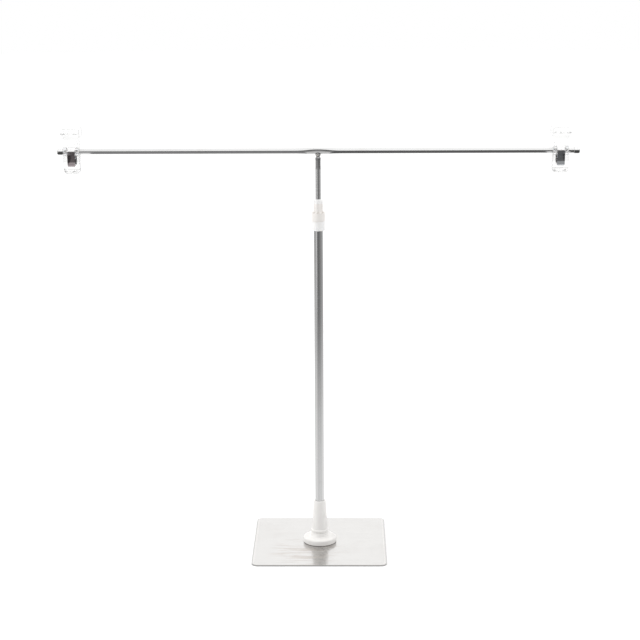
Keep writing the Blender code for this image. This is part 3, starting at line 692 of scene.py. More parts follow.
@dataclass(frozen=True)
class Moulding(Finish):
    """Moulded opaque or milky plastic.

    Attributes:
        colour: colour of the plastic.
        aged: colour where it has yellowed.
        aged_share: strength of the yellowing.
        gloss: roughness of the smoothest and of the dullest places.
        peel: depth of the skin's relief in metres.
        glow: weight of light that scatters under the surface.
        glow_reach: distance in metres over which it scatters.
        glow_shares: shares of that distance that red, green and blue light go.
        corner_grey: colour of the inner corners, which are greyer than the rest.
        corner_grey_share: strength of that colour.
        dust: colour of the dust.
        dust_share: strength of the dust.
        polish: roughness that touched places and rubbed edges lose.
    """

    colour: Triple = (0.92, 0.905, 0.885)
    aged: Triple = (0.87, 0.845, 0.81)
    aged_share: float = 0.35
    gloss: Point = (0.28, 0.42)
    peel: float = 0.000006
    glow: float = 0.0
    glow_reach: float = 0.002
    glow_shares: Triple = (1.0, 0.95, 0.9)
    corner_grey: Triple = (0.7, 0.66, 0.61)
    corner_grey_share: float = 0.3
    dust: Triple = (0.78, 0.76, 0.72)
    dust_share: float = 0.15
    polish: Point = (0.06, 0.08)

    def wire(self, tree: Tree, shader: bpy.types.Node) -> None:
        """Flow clouds, grey inner corners, rubbed edges, thin dust and a fine peel."""
        skin = SKIN.place(tree)
        edges = EDGES.place(tree, Scale=260.0, Reach=0.09)
        dust = DUST.place(tree, Scale=140.0)
        touched = PATCHES.place(tree, Scale=85.0, Low=0.5, High=0.78)
        aging = tree.spread(skin["Clouds"], 0.35, 0.75, 0.0, self.aged_share)
        clouded = tree.mix(aging, self.colour, self.aged)
        # The inner corners turn greyer.
        greyed = tree.mix(tree.product(edges["Corners"], self.corner_grey_share), clouded, self.corner_grey)
        dusty = tree.mix(tree.product(dust["Mask"], self.dust_share), greyed, self.dust)
        tree.feed(shader.inputs["Base Color"], dusty)
        rough = tree.spread(skin["Clouds"], *PLAIN_CONTRAST, *self.gloss)
        for mask, loss in zip((touched["Mask"], edges["Rubbed"]), self.polish):
            rough = tree.math("MULTIPLY_ADD", mask, -loss, rough)
        tree.feed(shader.inputs["Roughness"], rough)
        tree.feed(shader.inputs["Normal"], tree.bump(skin["Height"], self.peel))
        shader.inputs["IOR"].default_value = PLASTIC_IOR
        if self.glow:
            shader.inputs["Subsurface Weight"].default_value = self.glow
            shader.inputs["Subsurface Scale"].default_value = self.glow_reach
            shader.inputs["Subsurface Radius"].default_value = self.glow_shares


@dataclass(frozen=True)
class TopLitMoulding(Moulding):
    """Moulding whose upper end is whiter than the rest, as a painted highlight.

    Attributes:
        top_highlight: colour of the painted highlight on the upper end.
        top_highlight_span: heights between which it sets in.
    """

    top_highlight: Triple = (0.99, 0.985, 0.98)
    top_highlight_span: Point = (0.4704, 0.472)

    def wire(self, tree: Tree, shader: bpy.types.Node) -> None:
        """The moulding's skin, with a painted highlight on the upper end above it."""
        super().wire(tree, shader)
        share = tree.spread(tree.parts(own_place(tree))[2], *self.top_highlight_span)
        # Painted highlight: the upper end turns whiter.
        tree.feed(shader.inputs["Base Color"], tree.mix(share, fed(shader, "Base Color"), self.top_highlight))


@dataclass(frozen=True)
class ClearMoulding(Finish):
    """Clear moulded plastic, whose edges look grey.

    Attributes:
        face: tint of light that goes straight through.
        edge: tint of light that grazes a surface.
        facing_blend: blend of the facing weight, which grows towards grazing angles.
        grazing: values of the facing weight at which grazing starts and is full.
        hub: tint of light that grazes the thick hub round the crossbar.
        hub_span: lowest and highest point of the hub.
        hub_fade: height over which the hub's tint sets in, to each side of its ends.
        rubbed: tint of the rubbed bands.
        rubbed_heights: middles of the rubbed bands, on the teeth and at the foot of the pads.
        rubbed_reach: distance from a band's middle to its outer end and to its full strength.
        hazes: roughness of the clean plastic, and what handling haze and scratches add to it.
        hair_depth: depth of the scratches, as a share of the relief.
        relief: depth of the skin's relief in metres.
    """

    face: Triple = (1.0, 1.0, 0.998)
    edge: Triple = (0.22, 0.22, 0.23)
    facing_blend: float = 0.35
    grazing: Point = (0.3, 0.85)
    hub: Triple = (0.96, 0.96, 0.96)
    hub_span: Point = (0.5335, 0.551)
    hub_fade: float = 0.001
    rubbed: Triple = (0.5, 0.5, 0.5)
    rubbed_heights: Point = (0.5146, 0.5645)
    rubbed_reach: Point = (0.0016, 0.0008)
    hazes: Triple = (0.02, 0.05, 0.1)
    hair_depth: float = 0.4
    relief: float = 0.000008

    def wire(self, tree: Tree, shader: bpy.types.Node) -> None:
        """Tint that deepens at grazing angles, handling haze, hair scratches and sink marks."""
        facing = tree.add("ShaderNodeLayerWeight")
        facing.inputs["Blend"].default_value = self.facing_blend
        skin = SKIN.place(tree, Scale=900.0, Peel=0.15)
        haze = PATCHES.place(tree, Scale=150.0, Low=0.5, High=0.8)
        hairs = SCRATCHES.place(tree, Scale=420.0, Width=0.01)
        height = tree.parts(own_place(tree))[2]
        grazing = tree.spread(facing.outputs["Facing"], *self.grazing)
        edge = tree.mix(self.hub_share(tree, height), self.edge, self.hub)
        tint = tree.mix(grazing, self.face, edge)
        tint = tree.mix(self.rubbed_share(tree, height), tint, self.rubbed)
        tree.feed(shader.inputs["Base Color"], tint)
        rough, handled, scratched = self.hazes
        for effect, extra in ((haze, handled), (hairs, scratched)):
            rough = tree.math("MULTIPLY_ADD", effect["Mask"], extra, rough)
        tree.feed(shader.inputs["Roughness"], rough)
        relief = tree.math("MULTIPLY_ADD", hairs["Mask"], -self.hair_depth, skin["Height"])
        tree.feed(shader.inputs["Normal"], tree.bump(relief, self.relief))
        shader.inputs["IOR"].default_value = PLASTIC_IOR
        shader.inputs["Transmission Weight"].default_value = 1.0

    def hub_share(self, tree: Tree, height: Socket) -> Socket:
        """Share of the hub's tint at a height.

        Args:
            tree: the material's tree.
            height: the height's socket.

        Returns:
            The share's socket.
        """
        foot, head = self.hub_span
        over = tree.spread(height, foot - self.hub_fade, foot + self.hub_fade)
        under = tree.spread(height, head + self.hub_fade, head - self.hub_fade)
        return tree.product(over, under)

    def rubbed_share(self, tree: Tree, height: Socket) -> Socket:
        """Strength of the rubbed patches, in bands at their heights.

        Args:
            tree: the material's tree.
            height: the height's socket.

        Returns:
            The strength's socket.
        """
        patches = PATCHES.place(tree, Scale=230.0, Low=0.5, High=0.62, Shift=(0.31, 0.12, 0.4))
        total: Value = 0.0
        for middle in self.rubbed_heights:
            away = tree.math("ABSOLUTE", tree.math("SUBTRACT", height, middle))
            total = tree.math("ADD", total, tree.spread(away, *self.rubbed_reach))
        return tree.product(patches["Mask"], total)


PLATE_FINISH = BrushedSheet(
    "plate_brushed_steel",
    "brushed_plate",
    colour=(0.537, 0.529, 0.518),
    stain=(0.475, 0.448, 0.432),
    gloss=(0.13, 0.2),
    relief=0.000003,
    patch_scale=14.0,
    streak=0.985,
)
TUBE_FINISH = DrawnSteel(
    "mast_tube_steel", "polished_steel", lay=Lay.ALONG_Z, colour=(0.68, 0.68, 0.68)
)
ROD_FINISH = NeckShadedRod("rod_steel", "polished_steel", lay=Lay.AROUND_Z, colour=(0.78, 0.78, 0.78))
BAR_FINISH = DrawnSteel("crossbar_steel", "polished_steel", colour=(0.68, 0.68, 0.68))
WELD_FINISH = WeldedSteel(
    "weld_steel",
    "polished_steel",
    lay=Lay.AROUND_Z,
    colour=(0.72, 0.72, 0.72),
    gloss=(0.3, 0.45),
    patch_scale=200.0,
)
CAP_FINISH = DrawnSteel(
    "cap_bright_steel",
    "cap_chrome",
    lay=Lay.AROUND_X,
    colour=(0.78, 0.78, 0.78),
    gloss=(0.05, 0.1),
    patch_scale=220.0,
)
ZINC_FINISH = DrawnSteel(
    "zinc_plated_steel",
    "zinc_steel",
    lay=Lay.AROUND_Z,
    colour=(0.62, 0.63, 0.62),
    stain=(0.5, 0.49, 0.42),
    gloss=(0.3, 0.45),
    patch_scale=260.0,
)
SPRING_FINISHES = {
    Side.LEFT: SpringLeaf(
        "left_spring_steel",
        "spring_steel",
        colour=(0.4, 0.355, 0.362),
        stain=(0.36, 0.29, 0.3),
        gloss=(0.14, 0.24),
        bloom=(0.34, 0.285, 0.298),
    ),
    Side.RIGHT: SpringLeaf(
        "right_spring_steel",
        "spring_steel",
        colour=(0.4, 0.41, 0.42),
        stain=(0.33, 0.34, 0.35),
        gloss=(0.14, 0.24),
        bloom=(0.34, 0.36, 0.38),
    ),
}
WHITE_FINISH = Moulding("white_moulding", "white_plastic")
COLLAR_FINISH = Moulding(
    "bright_white_moulding",
    "white_plastic",
    colour=(0.99, 0.985, 0.98),
    aged=(0.97, 0.965, 0.95),
    glow=0.25,
)
NUT_FINISH = TopLitMoulding(
    "warm_white_moulding", "white_plastic", colour=(0.93, 0.9, 0.87), aged=(0.88, 0.84, 0.8)
)
MILKY_FINISH = Moulding(
    "milky_moulding",
    "milky_plastic",
    colour=(0.99, 0.99, 0.99),
    aged=(0.96, 0.96, 0.955),
    gloss=(0.3, 0.42),
    glow=0.6,
)
CLEAR_FINISH = ClearMoulding("clear_moulding", "clear_plastic")


# Mesh helpers


def polar(radius: float, angle: float) -> Vector:
    """Point of a plane at a radius and an angle."""
    return Vector((radius * math.cos(angle), radius * math.sin(angle)))


def eased(share: float) -> float:
    """Share from 0 to 1 that starts and ends gently."""
    return share * share * (3 - 2 * share)


def spaced(first: float, last: float, count: int) -> list[float]:
    """Evenly spaced values from first to last, both included, in a count of steps."""
    return [first + (last - first) * step / count for step in range(count + 1)]


def round_corners(
    corners: Sequence[Corner], closed: bool = True, steps: int = CORNER_STEPS
) -> list[Point]:
    """Outline whose corners are turned into arcs.

    Args:
        corners: points as (u, v, radius), where a radius of 0 keeps the corner sharp.
        closed: whether the last corner joins the first.
        steps: number of straight steps in each arc.

    Returns:
        The outline's points.
    """
    points: list[Point] = []
    last = len(corners) - 1
    for index, (u, v, radius) in enumerate(corners):
        here = Vector((u, v))
        if radius == 0 or (not closed and index in (0, last)):
            points.append((u, v))
            continue
        before = (Vector(corners[index - 1][:2]) - here).normalized()
        after = (Vector(corners[(index + 1) % len(corners)][:2]) - here).normalized()
        half_angle = before.angle(after) / 2
        reach = radius / math.tan(half_angle)
        centre = here + (before + after).normalized() * radius / math.sin(half_angle)
        first = here + before * reach - centre
        sweep = first.angle_signed(here + after * reach - centre)
        for step in range(steps + 1):
            points.append(tuple(centre + Matrix.Rotation(-sweep * step / steps, 2) @ first))
    return points


def loft(rings: Sequence[Sequence[Vector]], wrap: bool = False) -> bpy.types.Mesh:
    """Closed surface through rings of points.

    Args:
        rings: rings with the same number of points each.
        wrap: whether the last ring joins the first. Otherwise both end rings are filled.

    Returns:
        The mesh.
    """
    work = bmesh.new()
    rows = [[work.verts.new(point) for point in ring] for ring in rings]
    pairs = list(zip(rows, rows[1:]))
    if wrap:
        pairs.append((rows[-1], rows[0]))
    for low, high in pairs:
        for i, j in zip(range(len(low)), [*range(1, len(low)), 0]):
            work.faces.new((low[i], low[j], high[j], high[i]))
    if not wrap:
        work.faces.new(rows[0])
        work.faces.new(rows[-1])
    bmesh.ops.remove_doubles(work, verts=work.verts, dist=MERGE_DISTANCE)
    bmesh.ops.recalc_face_normals(work, faces=work.faces)
    mesh = bpy.data.meshes.new("loft")
    work.to_mesh(mesh)
    work.free()
    return mesh


def turned(
    profile: Sequence[Point],
    closed: bool = True,
    segments: int = ROUND_SEGMENTS,
    shape: Callable[[float, float, float], float] | None = None,
) -> bpy.types.Mesh:
    """Piece turned about Z.

    Args:
        profile: points as (radius, height). An open profile starts and ends on the axis.
        closed: whether the profile joins up.
        segments: number of facets round the piece.
        shape: gives the radius from (radius, height, angle), where the piece isn't round.

    Returns:
        The mesh.
    """
    rings = []
    for radius, height in profile:
        ring = []
        for angle in spaced(0, 2 * math.pi, segments)[:-1]:
            reach = shape(radius, height, angle) if shape else radius
            ring.append(Vector((*polar(reach, angle), height)))
        rings.append(ring)
    return loft(rings, wrap=closed)


def add_object(name: str, data: bpy.types.ID) -> bpy.types.Object:
    """New object in the scene.

    Args:
        name: the object's name.
        data: its mesh, light or camera.

    Returns:
        The object.
    """
    made = bpy.data.objects.new(name, data)
    bpy.context.scene.collection.objects.link(made)
    return made


def carved(mesh: bpy.types.Mesh, tool: bpy.types.Mesh) -> bpy.types.Mesh:
    """Mesh with a tool's solid taken away from it.

    Args:
        mesh: the solid to cut.
        tool: the solid to take away.

    Returns:
        The cut mesh.
    """
    block, cutter = (add_object("carving", item) for item in (mesh, tool))
    cut = block.modifiers.new("cut", "BOOLEAN")
    cut.operation = "DIFFERENCE"
    cut.solver = "EXACT"
    cut.object = cutter
    bpy.context.view_layer.update()
    evaluated = block.evaluated_get(bpy.context.evaluated_depsgraph_get())
    result = bpy.data.meshes.new_from_object(evaluated)
    for holder in (block, cutter):
        bpy.data.objects.remove(holder)
    return result


def shift(mesh: bpy.types.Mesh, *matrices: Matrix) -> bpy.types.Mesh:
    """Mesh moved by matrices, the first of them first.

    Args:
        mesh: the mesh to move.
        matrices: the moves, in order.

    Returns:
        The same mesh.
    """
    for matrix in matrices:
        mesh.transform(matrix)
    return mesh


def upright_to_x() -> Matrix:
    """Turn that lays a piece made along Z down along +X."""
    return Matrix.Rotation(math.pi / 2, 4, "Y")


class Workshop:
    """Turns finished meshes into the stand's pieces, and dresses the nodes that stay as they are."""

    def __init__(self) -> None:
        """Start with no pieces."""
        self.count = 0

    def piece(
        self, name: str, mesh: bpy.types.Mesh, finish: Finish, node: str, body: str | None = None
    ) -> bpy.types.Object:
        """New piece that stands for a node.

        Args:
            name: the piece's name.
            mesh: its mesh, in the frame's own place.
            finish: its finish.
            node: the node that it replaces.
            body: the body that it rides on, or None to leave it on no body.

        Returns:
            The piece.
        """
        mesh.name = name
        mesh.materials.clear()
        mesh.materials.append(finish.material())
        mesh.shade_smooth()
        mesh.set_sharp_from_angle(angle=SMOOTH_ANGLE)
        made = add_object(name, mesh)
        if body:
            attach(made, body)
        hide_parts(node)
        self.count += 1
        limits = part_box(node)[1]
        reaches = [max(vertex.co[axis] for vertex in mesh.vertices) for axis in range(3)]
        proud = max(1000 * (reach - limit) for reach, limit in zip(reaches, limits))
        log.info("%s: %d faces, %.2f mm beyond %s", name, len(mesh.polygons), proud, node)
        return made

    def dress(self, node: str, finish: Finish) -> None:
        """Give a carried-over node its finish.

        Args:
            node: the node's name.
            finish: its finish.
        """
        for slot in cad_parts[node].material_slots:
            slot.material = finish.material()
        self.count += 1
        log.info("%s keeps its shape, in %s", node, finish.name)


# The base


@dataclass
class BasePlate:
    """Square sheet with rounded corners and a stamped edge, pressed up into a dimple over its screw."""

    side: float = 0.180
    thickness: float = 0.002
    corner_radius: float = 0.0085
    edge_radius: float = 0.00055
    edge_margin: float = 0.003
    dimple_rise: float = 0.0016
    dimple_radius: float = 0.010
    dimple_ramp: float = 0.0022
    dimple_bend: float = 0.001
    hole_radius: float = 0.0029
    sink_radius: float = 0.0049
    flat_radii: tuple[float, ...] = (0.016, 0.026, 0.040, 0.058)
    corner_steps: int = 12
    side_steps: int = 24

    def outline(self, inset: float) -> list[Point]:
        """Outline of the sheet.

        Args:
            inset: distance in from its edge.

        Returns:
            Points in the same order at every inset, so that outlines and circles can be lofted.
        """
        points: list[Point] = []
        radius = self.corner_radius - inset
        middle = Vector((1, 1)) * (self.side / 2 - self.corner_radius)
        for turn in spaced(0, 2 * math.pi, 4)[:-1]:
            following = turn + math.pi / 2
            centre, next_centre = (Matrix.Rotation(angle, 2) @ middle for angle in (turn, following))
            for angle in spaced(turn, following, self.corner_steps):
                points.append(tuple(centre + polar(radius, angle)))
            end = Vector(points[-1])
            start = next_centre + polar(radius, following)
            for share in spaced(0, 1, self.side_steps)[1:-1]:
                points.append(tuple(end.lerp(start, share)))
        return points

    def ring(self, radius: float, height: float) -> list[Vector]:
        """Circle whose points lie in the directions of the outline's points."""
        return [Vector((*(Vector(point).normalized() * radius), height)) for point in self.outline(0)]

    def edge(self, inset: float, height: float) -> list[Vector]:
        """Outline at an inset and a height."""
        return [Vector((*point, height)) for point in self.outline(inset)]

    def dimple_line(self) -> list[Point]:
        """Upper side of the dimple, from the hole's rim out.

        Returns:
            Points as (radius, height).
        """
        top = self.thickness
        corners = [
            (self.hole_radius, top + self.dimple_rise, 0),
            (self.dimple_radius, top + self.dimple_rise, self.dimple_bend),
            (self.dimple_radius + self.dimple_ramp, top, self.dimple_bend),
            (self.flat_radii[0], top, 0),
        ]
        return round_corners(corners)

    def mesh(self) -> bpy.types.Mesh:
        """The sheet as one closed surface, from the hole's rim over the top and back below.

        Returns:
            The mesh.
        """
        top = self.thickness
        ramp_foot = self.dimple_radius + self.dimple_ramp - CLEARANCE
        arc = spaced(0, math.pi / 2, CORNER_STEPS)
        curve = [Vector((1, 1)) * self.edge_radius - polar(self.edge_radius, turn) for turn in arc]
        rings = [self.ring(radius, height) for radius, height in self.dimple_line()]
        rings += [self.ring(radius, top) for radius in self.flat_radii[1:]]
        rings.append(self.edge(self.edge_margin, top))
        rings += [self.edge(spot.y, top - spot.x) for spot in curve]
        rings += [self.edge(spot.x, spot.y) for spot in curve]
        rings.append(self.edge(self.edge_margin, 0))
        rings += [self.ring(radius, 0) for radius in reversed(self.flat_radii)]
        rings.append(self.ring(ramp_foot, 0))
        rings.append(self.ring(self.dimple_radius - CLEARANCE, self.dimple_rise))
        rings.append(self.ring(self.sink_radius, self.dimple_rise))
        return loft(rings, wrap=True)

    def build(self, shop: Workshop) -> None:
        """Make the sheet and dress the screw and the nut that hold the socket on it.

        Args:
            shop: takes the pieces.
        """
        shop.piece("plate_sheet", self.mesh(), PLATE_FINISH, "base_plate", "base")
        shop.dress("base_screw", ZINC_FINISH)
        shop.dress("socket_nut", ZINC_FINISH)


@dataclass
class BaseSocket:
    """White flange and flared neck on the plate, bored for the mast's lower tube."""

    foot: float = 0.0023
    flange_radius: float = 0.0225
    flange_top: float = 0.0096
    flange_edge: float = 0.0022
    foot_edge: float = 0.0005
    neck_top: float = 0.0162
    neck_radius: float = 0.0115
    neck_flare: float = 0.0012
    neck_fillet: float = 0.0025
    neck_edge: float = 0.0006
    stub_radius: float = 0.0083
    stub_top: float = 0.0305
    stub_edge: float = 0.0004
    stub_fillet: float = 0.0003
    bore: float = 0.0063
    ledge: float = 0.011
    pocket_radius: float = 0.0048
    pocket_foot: float = 0.0064
    screw_bore: float = 0.0028
    hollow_radius: float = 0.0125
    hollow_top: float = 0.0039

    def mesh(self) -> bpy.types.Mesh:
        """Flange, neck, stub and bore, turned in one piece.

        Returns:
            The mesh.
        """
        profile = [
            (self.stub_radius, self.stub_top, self.stub_edge),
            (self.stub_radius, self.neck_top, self.stub_fillet),
            (self.neck_radius, self.neck_top, self.neck_edge),
            (self.neck_radius + self.neck_flare, self.flange_top, self.neck_fillet),
            (self.flange_radius, self.flange_top, self.flange_edge),
            (self.flange_radius, self.foot, self.foot_edge),
            (self.hollow_radius, self.foot, 0),
            (self.hollow_radius, self.hollow_top, 0),
            (self.screw_bore, self.hollow_top, 0),
            (self.screw_bore, self.pocket_foot, 0),
            (self.pocket_radius, self.pocket_foot, 0),
            (self.pocket_radius, self.ledge, 0),
            (self.bore, self.ledge, 0),
            (self.bore, self.stub_top, 0),
        ]
        return turned(round_corners(profile))

    def build(self, shop: Workshop) -> None:
        """Make the socket and dress the split collet above it."""
        shop.piece("socket_moulding", self.mesh(), WHITE_FINISH, "base_socket", "base")
        shop.dress("base_collet", WHITE_FINISH)


@dataclass
class ConeNut:
    """Tall conical clamp nut with a rolled lip at its foot."""

    foot: float = 0.0163
    top: float = 0.061
    foot_radius: float = 0.0108
    lip_stand: float = 0.00115
    lip_height: float = 0.0042
    lip_crest: float = 0.0034
    top_radius: float = 0.0081
    edge_radius: float = 0.0009
    rim_radius: float = 0.0003
    thread_radius: float = 0.0086
    collet_foot: float = 0.0308
    collet_top: float = 0.0401
    cone_radii: Point = (0.0083, 0.0072)
    bore: float = 0.0063
    rim_bore: float = 0.0061
    rim_depth: float = 0.003

    def mesh(self) -> bpy.types.Mesh:
        """The nut as one turned solid, with the thread bore and the collet's cone inside.

        Returns:
            The mesh.
        """
        lip = self.foot_radius + self.lip_stand
        profile = [
            (self.top_radius, self.top, self.edge_radius),
            (self.foot_radius, self.foot + self.lip_height, self.edge_radius),
            (lip, self.foot + self.lip_crest, self.edge_radius),
            (lip - CLEARANCE, self.foot, self.edge_radius),
            (self.thread_radius, self.foot, 0),
            (self.thread_radius, self.collet_foot, 0),
            (self.cone_radii[0], self.collet_foot, 0),
            (self.cone_radii[1], self.collet_top, 0),
            (self.bore, self.collet_top, 0),
            (self.bore, self.top - self.rim_depth, 0),
            (self.rim_bore, self.top - self.rim_depth, 0),
            (self.rim_bore, self.top, self.rim_radius),
        ]
        return turned(round_corners(profile))

    def build(self, shop: Workshop) -> None:
        """Make the nut."""
        shop.piece("cone_nut_moulding", self.mesh(), WHITE_FINISH, "base_cone_nut", "cone_nut")


# The mast


@dataclass
class LowerTube:
    """Outer tube of the mast, with its cut ends rounded off."""

    foot: float = 0.0113
    top: float = 0.4503
    radius: float = 0.006
    bore: float = 0.0052
    end_edge: float = 0.00018
    edge_steps: int = 3
    ring_count: int = 24
    segments: int = 128

    def mesh(self) -> bpy.types.Mesh:
        """Wall of the tube, with rings along it.

        Returns:
            The mesh.
        """
        heights = spaced(self.foot, self.top, self.ring_count)[1:-1]
        corners = [
            (self.bore, self.top, self.end_edge),
            (self.bore, self.foot, self.end_edge),
            (self.radius, self.foot, self.end_edge),
            *((self.radius, height, 0) for height in heights),
            (self.radius, self.top, self.end_edge),
        ]
        return turned(round_corners(corners, steps=self.edge_steps), segments=self.segments)

    def build(self, shop: Workshop) -> None:
        """Make the tube."""
        shop.piece("mast_tube", self.mesh(), TUBE_FINISH, "lower_tube", "mast")


@dataclass
class HeightLock:
    """Collar on the lower tube's top, and the fluted clamp nut above it."""

    collar_foot: float = 0.4355
    collar_top: float = 0.4477
    collar_radius: float = 0.0085
    collar_edges: Point = (0.0007, 0.00042)
    tube_bore: float = 0.0063
    ledge: float = 0.4506
    stub_top: float = 0.4567
    stub_radius: float = 0.0071
    rod_bore: float = 0.0039
    rim_bore: float = 0.0036
    rim_depth: float = 0.003
    fine_edge: float = 0.0003
    nut_foot: float = 0.4478
    nut_top: float = 0.477
    band_radius: float = 0.00865
    band_top: float = 0.4588
    band_edge: float = 0.0007
    shoulder: float = 0.0026
    shoulder_bend: float = 0.00208
    grip_radius: float = 0.0061
    dome_radius: float = 0.0023
    rim_radius: float = 0.0004
    thread_radius: float = 0.0074
    collet_foot: float = 0.457
    collet_top: float = 0.4648
    cone_radii: Point = (0.0053, 0.0044)
    flute_count: int = 8
    flute_radius: float = 0.0016
    flute_depth: float = 0.0008
    flute_length: float = 0.0139
    flute_run_out: float = 0.0016
    flute_steps: int = 5
    flute_segments: int = 192

    def collar_mesh(self) -> bpy.types.Mesh:
        """Collar with its stub, bored for the tube below and the rod above.

        Returns:
            The mesh.
        """
        foot_edge, top_edge = self.collar_edges
        profile = [
            (self.stub_radius, self.stub_top, self.fine_edge),
            (self.stub_radius, self.collar_top, 0),
            (self.collar_radius, self.collar_top, top_edge),
            (self.collar_radius, self.collar_foot, foot_edge),
            (self.tube_bore, self.collar_foot, self.fine_edge),
            (self.tube_bore, self.ledge, 0),
            (self.rod_bore, self.ledge, 0),
            (self.rod_bore, self.stub_top, 0),
        ]
        return turned(round_corners(profile))

    def fluted(self, radius: float, height: float, angle: float) -> float:
        """Radius of the nut where its flutes cut into it.

        Args:
            radius: radius of the plain nut.
            height: height above the table.
            angle: angle about the mast, where a flute faces the front.

        Returns:
            The cut radius.
        """
        if radius < self.rod_bore + self.rim_radius * 2 or height < self.band_top:
            return radius
        pitch = 2 * math.pi / self.flute_count
        off = (angle - math.pi / 2 + pitch / 2) % pitch - pitch / 2
        centre = self.grip_radius + self.flute_radius - self.flute_depth
        across = centre * math.sin(off)
        if abs(across) >= self.flute_radius:
            return radius
        cut = centre * math.cos(off) - math.sqrt(self.flute_radius**2 - across**2)
        rise = (height - (self.nut_top - self.flute_length)) / self.flute_run_out
        share = eased(min(1.0, max(0.0, rise)))
        return min(radius, self.grip_radius - max(0.0, self.grip_radius - cut) * share)

    def nut_mesh(self) -> bpy.types.Mesh:
        """Clamp nut: plain band, sloped shoulder, fluted grip and dome, bored for collet and rod.

        Returns:
            The mesh.
        """
        shoulder_top = self.band_top + self.shoulder
        flute_foot = self.nut_top - self.flute_length
        run_out = spaced(flute_foot, flute_foot + self.flute_run_out, self.flute_steps)
        profile = [
            (self.thread_radius, self.nut_foot, self.fine_edge),
            (self.band_radius, self.nut_foot, self.band_edge),
            (self.band_radius, self.band_top, self.band_edge),
            (self.grip_radius, shoulder_top, self.shoulder_bend),
            *((self.grip_radius, height, 0) for height in run_out if height > shoulder_top + self.shoulder),
            (self.grip_radius, self.nut_top, self.dome_radius),
            (self.rim_bore, self.nut_top, self.rim_radius),
            (self.rim_bore, self.nut_top - self.rim_depth, 0),
            (self.rod_bore, self.nut_top - self.rim_depth, 0),
            (self.rod_bore, self.collet_top, 0),
            (self.cone_radii[1], self.collet_top, 0),
            (self.cone_radii[0], self.collet_foot, 0),
            (self.thread_radius, self.collet_foot, 0),
        ]
        return turned(round_corners(profile), segments=self.flute_segments, shape=self.fluted)

    def build(self, shop: Workshop) -> None:
        """Make the collar and the nut, and dress the split collet between them.

        Args:
            shop: takes the pieces.
        """
        shop.piece("lock_collar_moulding", self.collar_mesh(), COLLAR_FINISH, "lock_body", "mast")
        shop.piece("lock_nut_moulding", self.nut_mesh(), NUT_FINISH, "lock_nut", "clamp_nut")
        shop.dress("lock_collet", WHITE_FINISH)


@dataclass
class UpperRod:
    """Telescopic tube, swaged to a neck under the crossbar, with a stop bead and a journal at its foot."""

    foot: float = 0.2279
    top: float = 0.5359
    radius: float = 0.0035
    wall: float = 0.0006
    neck_radius: float = 0.002525
    neck_length: float = 0.0036
    neck_edge: float = 0.0003
    neck_fillet: float = 0.0009
    bead_height: float = 0.0026
    bead_stand: float = 0.00015
    bead_crest: float = 0.0010
    bead_edge: float = 0.0006
    bore_edge: float = 0.0005
    cut_edge: float = 0.0001
    journal_step: float = 0.000875
    journal_foot: float = 0.2294
    journal_top: float = 0.238
    ring_count: int = 16

    def mesh(self) -> bpy.types.Mesh:
        """The rod, hollow and open at its foot, closed at its neck.

        Returns:
            The mesh.
        """
        bead_top = self.top - self.neck_length
        bead_foot = bead_top - self.bead_height
        journal = self.radius - self.journal_step
        bore = self.radius - self.wall
        shank = spaced(bead_foot, self.journal_top, self.ring_count)[1:-1]
        profile = [
            (0, self.top, 0),
            (self.neck_radius, self.top, self.neck_edge),
            (self.neck_radius, bead_top, self.neck_fillet),
            (self.radius + self.bead_stand, bead_top - self.bead_crest, self.bead_edge),
            (self.radius, bead_foot, self.bead_edge),
            *((self.radius, height, 0) for height in shank),
            (self.radius, self.journal_top, self.cut_edge),
            (journal, self.journal_top, 0),
            (journal, self.journal_foot, 0),
            (self.radius, self.journal_foot, self.cut_edge),
            (self.radius, self.foot, self.cut_edge),
            (journal - self.wall, self.foot, 0),
            (journal - self.wall, self.journal_top + self.wall, 0),
            (bore, self.journal_top + self.wall + self.journal_step, 0),
            (bore, bead_foot - bore, self.bore_edge),
            (0, bead_foot, 0),
        ]
        return turned(round_corners(profile, closed=False), closed=False)

    def build(self, shop: Workshop) -> None:
        """Make the rod and dress the guide on its foot."""
        shop.piece("rod_tube", self.mesh(), ROD_FINISH, "upper_rod", "tee")
        shop.dress("rod_guide", WHITE_FINISH)


